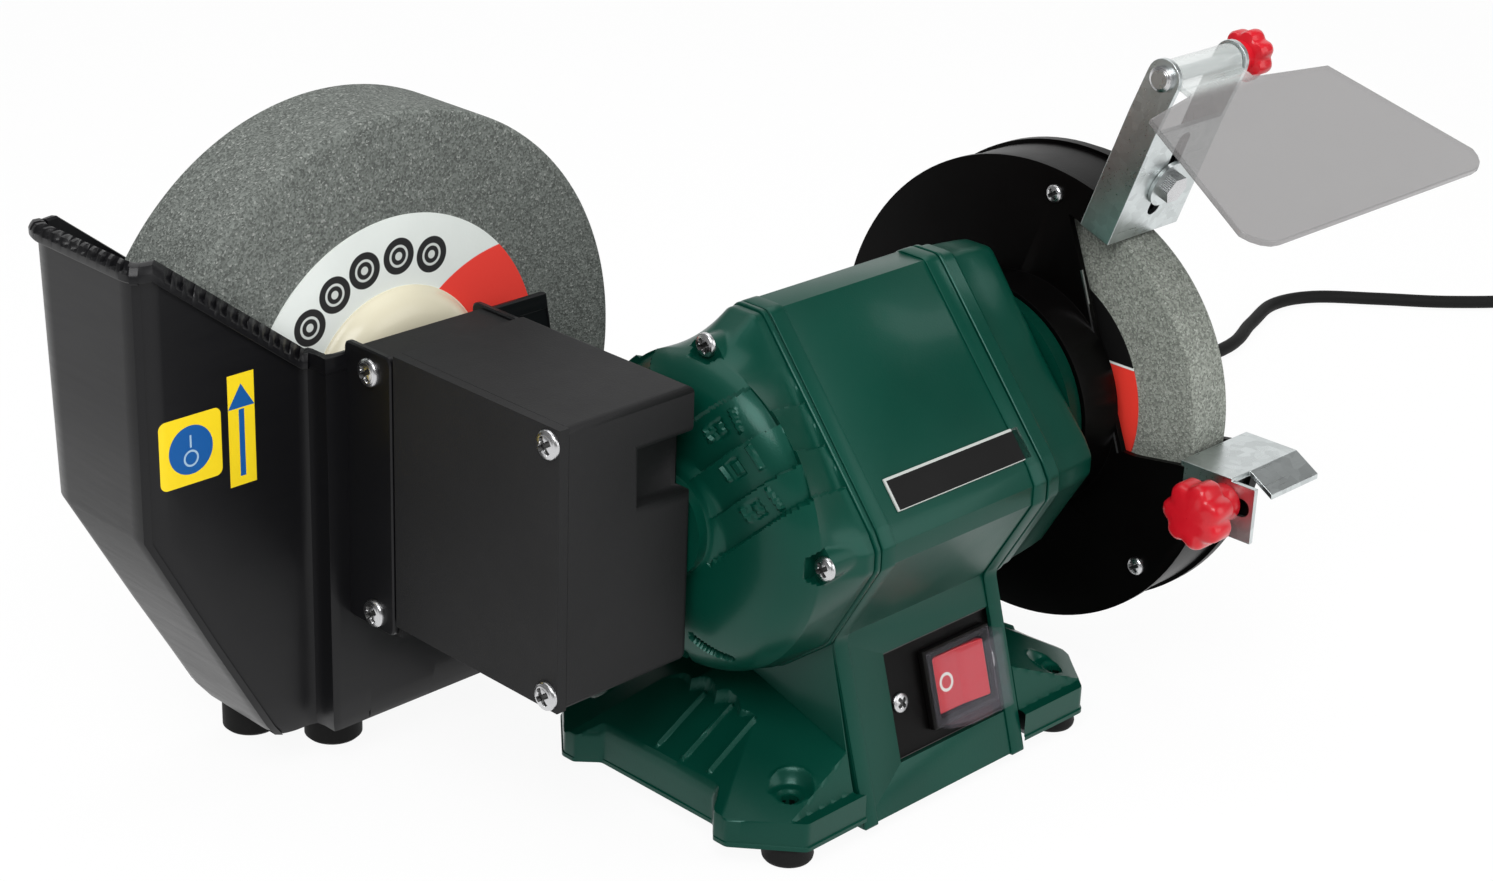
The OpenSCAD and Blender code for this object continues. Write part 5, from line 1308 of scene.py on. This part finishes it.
class GearboxOp(bpy.types.Operator):
    """Gearbox case and its cover"""

    bl_idname = "grinder.gearbox"
    bl_label = "Gearbox"

    def execute(self, context):
        for node, name, width, long in (
            ("gearbox_case", "gearbox_shell", 2.4, 18), ("gearbox_cover", "gearbox_lid", 0.8, 0)
        ):
            shell = softened(node, name, "frame", finishes["gearbox"], width, segments=4, long=long)
        crossed_screws("gearbox_screws", "gearbox_pan_screws", (-1, 0, 0))
        crossed_screws("trough_screws", "trough_pan_screws", (-1, 0, 0))
        return {"FINISHED"}


# --- Water trough --------------------------------------------------------------------------------

# In X: the trough's ends, the step in its front wall, and the places where its rim turns down or levels out
TR_L, TR_R, TR_STEP = ARBOR_X - 109.0, ARBOR_X + 109.0, ARBOR_X - 43.0
RIM_TURNS = (TR_L + 7.0, TR_STEP - 2.0, ARBOR_X + 54.0, ARBOR_X + 62.0)
# In Y: its front wall on both sides of the step, and its back wall
TR_FRONT, TR_STEPPED, TR_BACK = 103.0, 93.0, 159.0
# In Z: its floor, the knee below which its ends slope in, and its rim's levels from left to right
TR_FLOOR, TR_KNEE = 17.0, 105.0
TR_LEFT_TOP, TR_MID_TOP, TR_LOW_TOP = ARBOR_Z + 72.5, ARBOR_Z + 28.0, ARBOR_Z - 19.0
# How far its ends slope in, and how thick its walls are
TR_SLOPE, TR_WALL = 49.0, 2.5
# The neck between the gearbox's cover and its case, and the notch where the arbor passes the walls
NECK_L, NECK_R = float(low("gearbox_cover")[0]), GEAR_R
NOTCH, NOTCH_HALF = ARBOR_Z - 20.0, 20.0


def trough_plan(width, height):
    """Corners of the trough's plan at each height, anticlockwise from the front left.

    The end walls slope inwards below the knee, and width moves all the walls inwards."""
    height = np.asarray(height, float)
    slope = TR_SLOPE * np.clip((TR_KNEE - height) / (TR_KNEE - TR_FLOOR), 0, 1)
    left, right = TR_L + slope + width, TR_R - slope - width
    back = TR_BACK + (height - ARBOR_Z) / 20.0 - width
    front, stepped = TR_FRONT + width + 0 * height, TR_STEPPED + width + 0 * height
    step = TR_STEP + width + 0 * height
    x = np.stack([left, step, step, right, right, left], -1)
    y = np.stack([front, front, stepped, stepped, back, back], -1)
    return np.stack([x, y], -1)


def trough_stations():
    """Places round the trough: the wall they lie on, and how far along it."""
    walls = []
    notch = [ARBOR_X + side * half for side in (-1, 1) for half in (NOTCH_HALF, NOTCH_HALF - 0.1)]
    # Each wall's start, end and number of places, and further places where its rim turns
    layout = (
        (TR_L, TR_STEP, 170, RIM_TURNS[:1]),
        (0, 1, 5, []),
        (TR_STEP, TR_R, 60, [*RIM_TURNS[2:], *notch]),
        (0, 1, 24, []),
        (TR_R, TR_L, 100, [*RIM_TURNS, *notch]),
        (0, 1, 150, []),
    )
    for wall, (start, end, count, breaks) in enumerate(layout):
        f = np.linspace(0, 1, count, endpoint=False)
        f = np.unique(np.concatenate([f, [(b - start) / (end - start) for b in breaks]]))
        walls.append(np.stack([np.full(len(f), wall), f], -1))
    return np.concatenate(walls)


def trough_ring(stations, width, height, radius):
    """Points round the trough at one height per station, with each corner a quadratic curve."""
    wall = stations[:, 0].astype(int)
    f = stations[:, 1]
    plan = trough_plan(width, height)
    index = np.arange(len(wall))
    a, b = plan[index, wall], plan[index, (wall + 1) % 6]
    before, after = plan[index, (wall - 1) % 6], plan[index, (wall + 2) % 6]
    run = np.linalg.norm(b - a, axis=1)
    here = a + (b - a) * f[:, None]
    r0, r1 = radius[wall], radius[(wall + 1) % 6]
    s = f * run
    # Near a corner, a wall moves along its neighbour by a quarter of the reach times (1 - s / reach)^2
    pull0 = np.where(s < r0, (1 - s / np.maximum(r0, 1e-6)) ** 2, 0) / 4
    pull1 = np.where(run - s < r1, (1 - (run - s) / np.maximum(r1, 1e-6)) ** 2, 0) / 4
    out0 = (before - a) / np.linalg.norm(before - a, axis=1, keepdims=True)
    out1 = (after - b) / np.linalg.norm(after - b, axis=1, keepdims=True)
    here = here + out0 * (pull0 * r0)[:, None] + out1 * (pull1 * r1)[:, None]
    return np.column_stack([here, height])


def trough_top(stations):
    """Height of the rim at each station: it steps down the front and back walls from left to right."""
    wall, f = stations[:, 0].astype(int), stations[:, 1]
    x = np.select(
        [wall == 0, wall == 1, wall == 2, wall == 3, wall == 4],
        [
            TR_L + f * (TR_STEP - TR_L), TR_STEP, TR_STEP + f * (TR_R - TR_STEP), TR_R,
            TR_R + f * (TR_L - TR_R),
        ],
        TR_L,
    )
    tops = [TR_LEFT_TOP, TR_LEFT_TOP, TR_MID_TOP, TR_MID_TOP, TR_LOW_TOP, TR_LOW_TOP]
    top = np.interp(x, [TR_L, *RIM_TURNS, TR_R], tops)
    notch = (np.abs(x - ARBOR_X) < NOTCH_HALF - 0.05) & ((wall == 2) | (wall == 4))
    return np.where(notch, NOTCH, top), x


class TroughOp(bpy.types.Operator):
    """Water trough with its rim, ears and stickers"""

    bl_idname = "grinder.trough"
    bl_label = "Water trough"

    def execute(self, context):
        st = trough_stations()
        wall, f = st[:, 0].astype(int), st[:, 1]
        top, x = trough_top(st)
        # Length along the rim, for its teeth
        ring = trough_ring(st, 0.0, top, np.full(6, 0.0))
        run = np.concatenate([[0], np.cumsum(np.linalg.norm(np.diff(ring, axis=0), axis=1))])
        on_left, on_slope = wall == 5, wall == 0
        toothed = (on_left & (f > 0.04) & (f < 0.93)) | (on_slope & (f > 0.16) & (f < 0.95))
        tooth = 0.5 + 0.5 * np.clip(2.5 * np.sin(run * 2 * math.pi / 5.2), -1, 1)
        bead = np.where(
            on_left | on_slope, 2.0, np.where((wall == 2) & (x < ARBOR_X - NOTCH_HALF), 0.6, 0.4)
        )
        # How far each corner's curve reaches, outside and inside
        outer = np.array([9.0, 5.0, 1.5, 9.0, 9.0, 9.0])
        inner = np.array([6.5, 2.5, 4.0, 6.5, 6.5, 6.5])
        gap = np.where(toothed, 1 - tooth, 0.0)
        base = np.full(len(st), TR_FLOOR)
        # How far in and how high each ring lies: up the outside, over the rim and its teeth, down the inside
        outside = [(1.2, base)]
        outside += [(0.0, base + t * (top - 7 - base)) for t in (0.03, 0.1, 0.25, 0.5, 0.75, 0.9)]
        outside += [
            (0.0, top - 6.3), (-0.85 * bead, top - 5.9), (-bead, top - 5.4), (-bead, top - 3.2),
            (-bead + 0.2 + gap, top - 2.6), (-0.7 * bead + 1.3 * gap, top - 1.6 - gap),
            (-0.4 * bead + 1.3 * gap, top - 0.6 - 1.5 * gap), (0.7, top - 0.1 - 1.6 * gap),
        ]
        inside = [(1.9, top - 0.2), (TR_WALL, top - 0.9)]
        inside += [(TR_WALL, base + TR_WALL + t * (top - 3.4 - base)) for t in (0.8, 0.5, 0.25, 0.1, 0.0)]
        rows = [trough_ring(st, width, height, outer) for width, height in outside]
        rows += [trough_ring(st, width, height, inner) for width, height in inside]
        shell = loft("trough_shell", rows, "frame", finishes["trough"], sharp=32)
        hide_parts("water_trough")
        # Ears that grip the gearbox's neck
        outline = rounded([(69.4, 61.2), (94, 61.2), (94, 163.4), (69.4, 163.4)], 3.0, 5)
        eased = inset(outline, 0.6)
        shells = []
        for x0, x1 in ((NECK_L, NECK_L + TR_WALL), (NECK_R - TR_WALL, NECK_R)):
            middle = along_x(outline, [x0 + 0.5, x1 - 0.5])
            shells.append(np.concatenate([along_x(eased, [x0]), middle, along_x(eased, [x1])]))
        ears = several("trough_ears", shells, "frame", finishes["trough"])
        return {"FINISHED"}


# --- Wheels --------------------------------------------------------------------------------------


def rim_wave(angle, seed, size):
    """A shallow, uneven wave round a rim: five sines of falling height."""
    orders = np.array([3, 7, 13, 23, 41])
    lags = (np.arange(5) * 2.399963 + seed) % (2 * math.pi)
    return size * (np.sin(angle[:, None] * orders + lags) / np.sqrt(orders)).sum(1)


class WetWheelOp(bpy.types.Operator):
    """Large stone with its cream hubs and nut"""

    bl_idname = "grinder.wet_wheel"
    bl_label = "Wet wheel"

    def execute(self, context):
        r = float(high("wet_wheel")[0]) - ARBOR_X
        y0, y1 = float(low("wet_wheel")[1]), float(high("wet_wheel")[1])
        profile = [
            (10, y0), (38, y0), (r - 3.0, y0), (r - 1.2, y0 + 0.15), (r - 0.45, y0 + 0.6),
            (r - 0.15, y0 + 1.4), (r - 0.12, y0 + 6), (r - 0.12, y1 - 6), (r - 0.15, y1 - 1.4),
            (r - 0.45, y1 - 0.6), (r - 1.2, y1 - 0.15), (r - 3.0, y1), (38, y1), (10, y1), (10, y0),
        ]
        rows = turned(profile, "y", (ARBOR_X, ARBOR_Z), 240)
        a = np.linspace(0, 2 * math.pi, 240, endpoint=False)
        wave = rim_wave(a, 1.0, 0.05)
        centre = np.array([ARBOR_X, ARBOR_Z])
        rim = rows[3:12, :, [0, 2]]
        rows[3:12, :, [0, 2]] = centre + (rim - centre) * (1 + wave[:, None] / r)
        stone_piece = loft("wet_stone_wheel", rows, "arbor", finishes["wet_stone"], 30, caps=False)
        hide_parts("wet_wheel")
        y = y0 - 10.0
        hub = [
            (6, y), (16, y), (25, y + 0.3), (29.5, y + 1.1), (33, y + 2.7), (35.4, y + 5), (36.8, y + 7.3),
            (37.2, y + 8.4), (38, y + 9.0), (38, y + 9.55), (34, y + 9.55), (10, y + 9.9), (10, y + 24),
            (6, y + 24), (6, y),
        ]
        rows = turned(hub, "y", (ARBOR_X, ARBOR_Z), 128)
        front = loft("front_hub_dome", rows, "arbor", finishes["cream"], caps=False)
        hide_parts("front_hub")
        back = softened("back_hub", "back_hub_flange", "arbor", finishes["cream"], 0.8)
        nut = softened("arbor_nut", "arbor_hex_nut", "arbor", finishes["steel_y"], 0.6)
        return {"FINISHED"}


class DryWheelOp(bpy.types.Operator):
    """Small stone with its flanges and nut"""

    bl_idname = "grinder.dry_wheel"
    bl_label = "Dry wheel"

    def execute(self, context):
        lowest, highest = low("dry_wheel"), high("dry_wheel")
        r = (highest[2] - lowest[2]) / 2
        x0, x1 = lowest[0], highest[0]
        profile = [
            (6.4, x0), (50, x0), (r - 2.4, x0), (r - 0.9, x0 + 0.15), (r - 0.3, x0 + 0.6),
            (r - 0.1, x0 + 1.3), (r - 0.1, x1 - 1.3), (r - 0.3, x1 - 0.6), (r - 0.9, x1 - 0.15),
            (r - 2.4, x1), (50, x1), (6.4, x1), (6.4, x0),
        ]
        rows = turned(profile, "x", (0, MOTOR_Z), 192)
        stone_piece = loft("dry_stone_wheel", rows, "rotor", finishes["dry_stone"], 30, caps=False)
        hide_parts("dry_wheel")
        for node, name in (
            ("inner_flange", "inner_clamp"), ("outer_flange", "outer_clamp"), ("wheel_nut", "wheel_hex_nut")
        ):
            part = softened(node, name, "rotor", finishes["steel"], 0.5)
        return {"FINISHED"}


# --- Guard, shield and rest ----------------------------------------------------------------------


class GuardOp(bpy.types.Operator):
    """Wheel guard and its cover"""

    bl_idname = "grinder.guard"
    bl_label = "Wheel guard"

    def execute(self, context):
        for node, name, width in (
            ("wheel_guard", "guard_shell", 0.5), ("guard_cover", "guard_cover_shell", 0.6)
        ):
            shell = softened(node, name, "frame", finishes["guard"], width)
        # Bare cut edge of the plate beside the stone
        start, end = np.array([-24.8, 164.2]), np.array([-48.3, 99.9])
        along = (end - start) / np.linalg.norm(end - start)
        across = 0.35 * np.array([along[1], -along[0]])
        corners = [start - across, end - across, end + across, start + across]
        strip = along_x(corners, [GUARD_L - 0.25, GUARD_L + 0.6])
        loft("guard_cut_edge", strip, "frame", finishes["steel"])
        crossed_screws("guard_screws", "guard_pan_screws", (-1, 0, 0), 2.2)
        return {"FINISHED"}


def knob_rows(d, profile, x0, y, z, lobes=7, depth=0.09, sides=168):
    """A lobed knob about X: the radius swells and dips with the cosine of the angle times the lobes' number.

    The profile gives the share of the radius, the place along X and how strongly the lobes show."""
    p = np.asarray(profile, float)
    a = np.linspace(0, 2 * math.pi, sides, endpoint=False)
    c = np.cos(a * lobes)
    lobe = 1 - depth * (0.5 - 0.5 * c) ** 1.5 * 1.6
    r = d / 2 * p[:, :1] * (1 + p[:, 2:3] * (lobe - 1))
    return np.stack([x0 + p[:, 1:2] + 0 * r, y + r * np.cos(a), z + r * np.sin(a)], -1)


class ShieldOp(bpy.types.Operator):
    """Spark guard bracket, eye shield and its knob"""

    bl_idname = "grinder.shield"
    bl_label = "Spark guard and eye shield"

    def execute(self, context):
        bracket = softened("spark_bracket", "spark_guard_sheet", "spark_guard", finishes["zinc"], 0.5)
        shield = softened("eye_shield", "eye_shield_sheet", "shield", finishes["shield"], 0.5)
        lowest, highest = low("shield_knob"), high("shield_knob")
        y, z = (lowest[1] + highest[1]) / 2, (lowest[2] + highest[2]) / 2
        x0 = lowest[0]
        profile = [
            (0.28, 0, 0), (0.62, 0, 0), (0.64, 0.6, 0), (0.60, 2.2, 0), (0.62, 3.6, 0), (0.80, 4.0, 0.6),
            (0.94, 4.5, 1), (1.0, 5.6, 1), (1.0, 9.8, 1), (0.97, 11.2, 1), (0.88, 12.3, 1),
            (0.72, 12.8, 0.6), (0.60, 12.2, 0.2), (0.50, 11.0, 0), (0.28, 11.0, 0), (0.28, 0, 0),
        ]
        rows = knob_rows(19, profile, x0, y, z)
        knob = loft("shield_hand_knob", rows, "shield_clamp", finishes["knob"], caps=False)
        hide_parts("shield_knob")
        return {"FINISHED"}


class RestOp(bpy.types.Operator):
    """Tool rest and its knob"""

    bl_idname = "grinder.rest"
    bl_label = "Tool rest"

    def execute(self, context):
        rest = softened("tool_rest", "tool_rest_sheet", "work_rest", finishes["zinc"], 0.5)
        lowest, highest = low("rest_knob"), high("rest_knob")
        y, z = (lowest[1] + highest[1]) / 2, (lowest[2] + highest[2]) / 2
        x1 = highest[0]
        profile = [
            (0.25, -8, 0), (0.25, 0, 0), (0.54, 0, 0), (0.56, -0.6, 0), (0.54, -4, 0), (0.56, -9.4, 0),
            (0.80, -10, 0.6), (0.94, -10.6, 1), (1.0, -12, 1), (1.0, -18.0, 1), (0.97, -19.6, 1),
            (0.90, -20.7, 1), (0.78, -21.4, 0.8), (0.5, -21.9, 0.4), (0.01, -22, 0),
        ]
        rows = knob_rows(25, profile, x1, y, z)
        knob = loft("rest_hand_knob", rows, "rest_clamp", finishes["knob"], caps=False)
        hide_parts("rest_knob")
        return {"FINISHED"}


# --- Switch and badge ----------------------------------------------------------------------------


class SwitchOp(bpy.types.Operator):
    """Switch plate, bezel, rocker and splash cap"""

    bl_idname = "grinder.switch"
    bl_label = "Switch"

    def execute(self, context):
        for node, name, body, finish, width, slot in (
            ("switch_plate", "switch_face_plate", "frame", "plate_black", 0.4, "black_plastic"),
            ("switch_body", "switch_bezel", "frame", "black", 0.8, "black_plastic"),
            ("switch_rocker", "switch_paddle", "rocker", "rocker", 0.7, "red_plastic"),
            ("switch_cap", "splash_cap", "frame", "cap", 0.4, "clear_cap"),
        ):
            part = softened(node, name, body, finishes[finish], width)
        lean = math.atan(FLANK_LEAN)
        crossed_screws("switch_screws", "switch_pan_screws", (0, -math.cos(lean), math.sin(lean)), 1.6)
        return {"FINISHED"}


class BadgeOp(bpy.types.Operator):
    """Bare badge plate on the barrel"""

    bl_idname = "grinder.badge"
    bl_label = "Badge plate"

    def execute(self, context):
        plate = softened("badge_plate", "badge_sheet", "frame", finishes["badge"], 0.25)
        return {"FINISHED"}


# --- Panel and start -----------------------------------------------------------------------------

GROUPS = (
    (GrinderColours, "grinder_colours"),
    (CordSizes, "grinder_cord"),
    (HousingSizes, "grinder_housing"),
    (WheelSizes, "grinder_wheels"),
    (StageLights, "grinder_lights"),
)
STEPS = (
    FinishesOp, StageOp, CordOp, HousingOp, BaseOp, GearboxOp, TroughOp, WetWheelOp, DryWheelOp, GuardOp,
    ShieldOp, RestOp, SwitchOp, BadgeOp,
)


class GrinderPanel(bpy.types.Panel):
    """Lists the steps that dress the grinder, with their sizes and colours"""

    bl_idname = "VIEW3D_PT_grinder"
    bl_label = "Bench Grinder"
    bl_space_type = "VIEW_3D"
    bl_region_type = "UI"
    bl_category = "Bench Grinder"

    def draw(self, context):
        for group, name in GROUPS:
            box = self.layout.box()
            box.label(text=group.__doc__)
            for key in group.__annotations__:
                box.prop(getattr(context.scene, name), key)
        for step in STEPS:
            self.layout.operator(step.bl_idname)


def register():
    """Registers the sizes and colours, the steps and the panel."""
    for group, name in GROUPS:
        bpy.utils.register_class(group)
        setattr(bpy.types.Scene, name, bpy.props.PointerProperty(type=group))
    for step in STEPS:
        bpy.utils.register_class(step)
    bpy.utils.register_class(GrinderPanel)


def unregister():
    """Takes back what register does, in reverse order."""
    bpy.utils.unregister_class(GrinderPanel)
    for step in reversed(STEPS):
        bpy.utils.unregister_class(step)
    for group, name in reversed(GROUPS):
        delattr(bpy.types.Scene, name)
        bpy.utils.unregister_class(group)


def main():
    """Registers the steps and runs every one in order."""
    register()
    for step in STEPS:
        family, name = step.bl_idname.split(".")
        getattr(getattr(bpy.ops, family), name)()


if __name__ == "__main__":
    main()
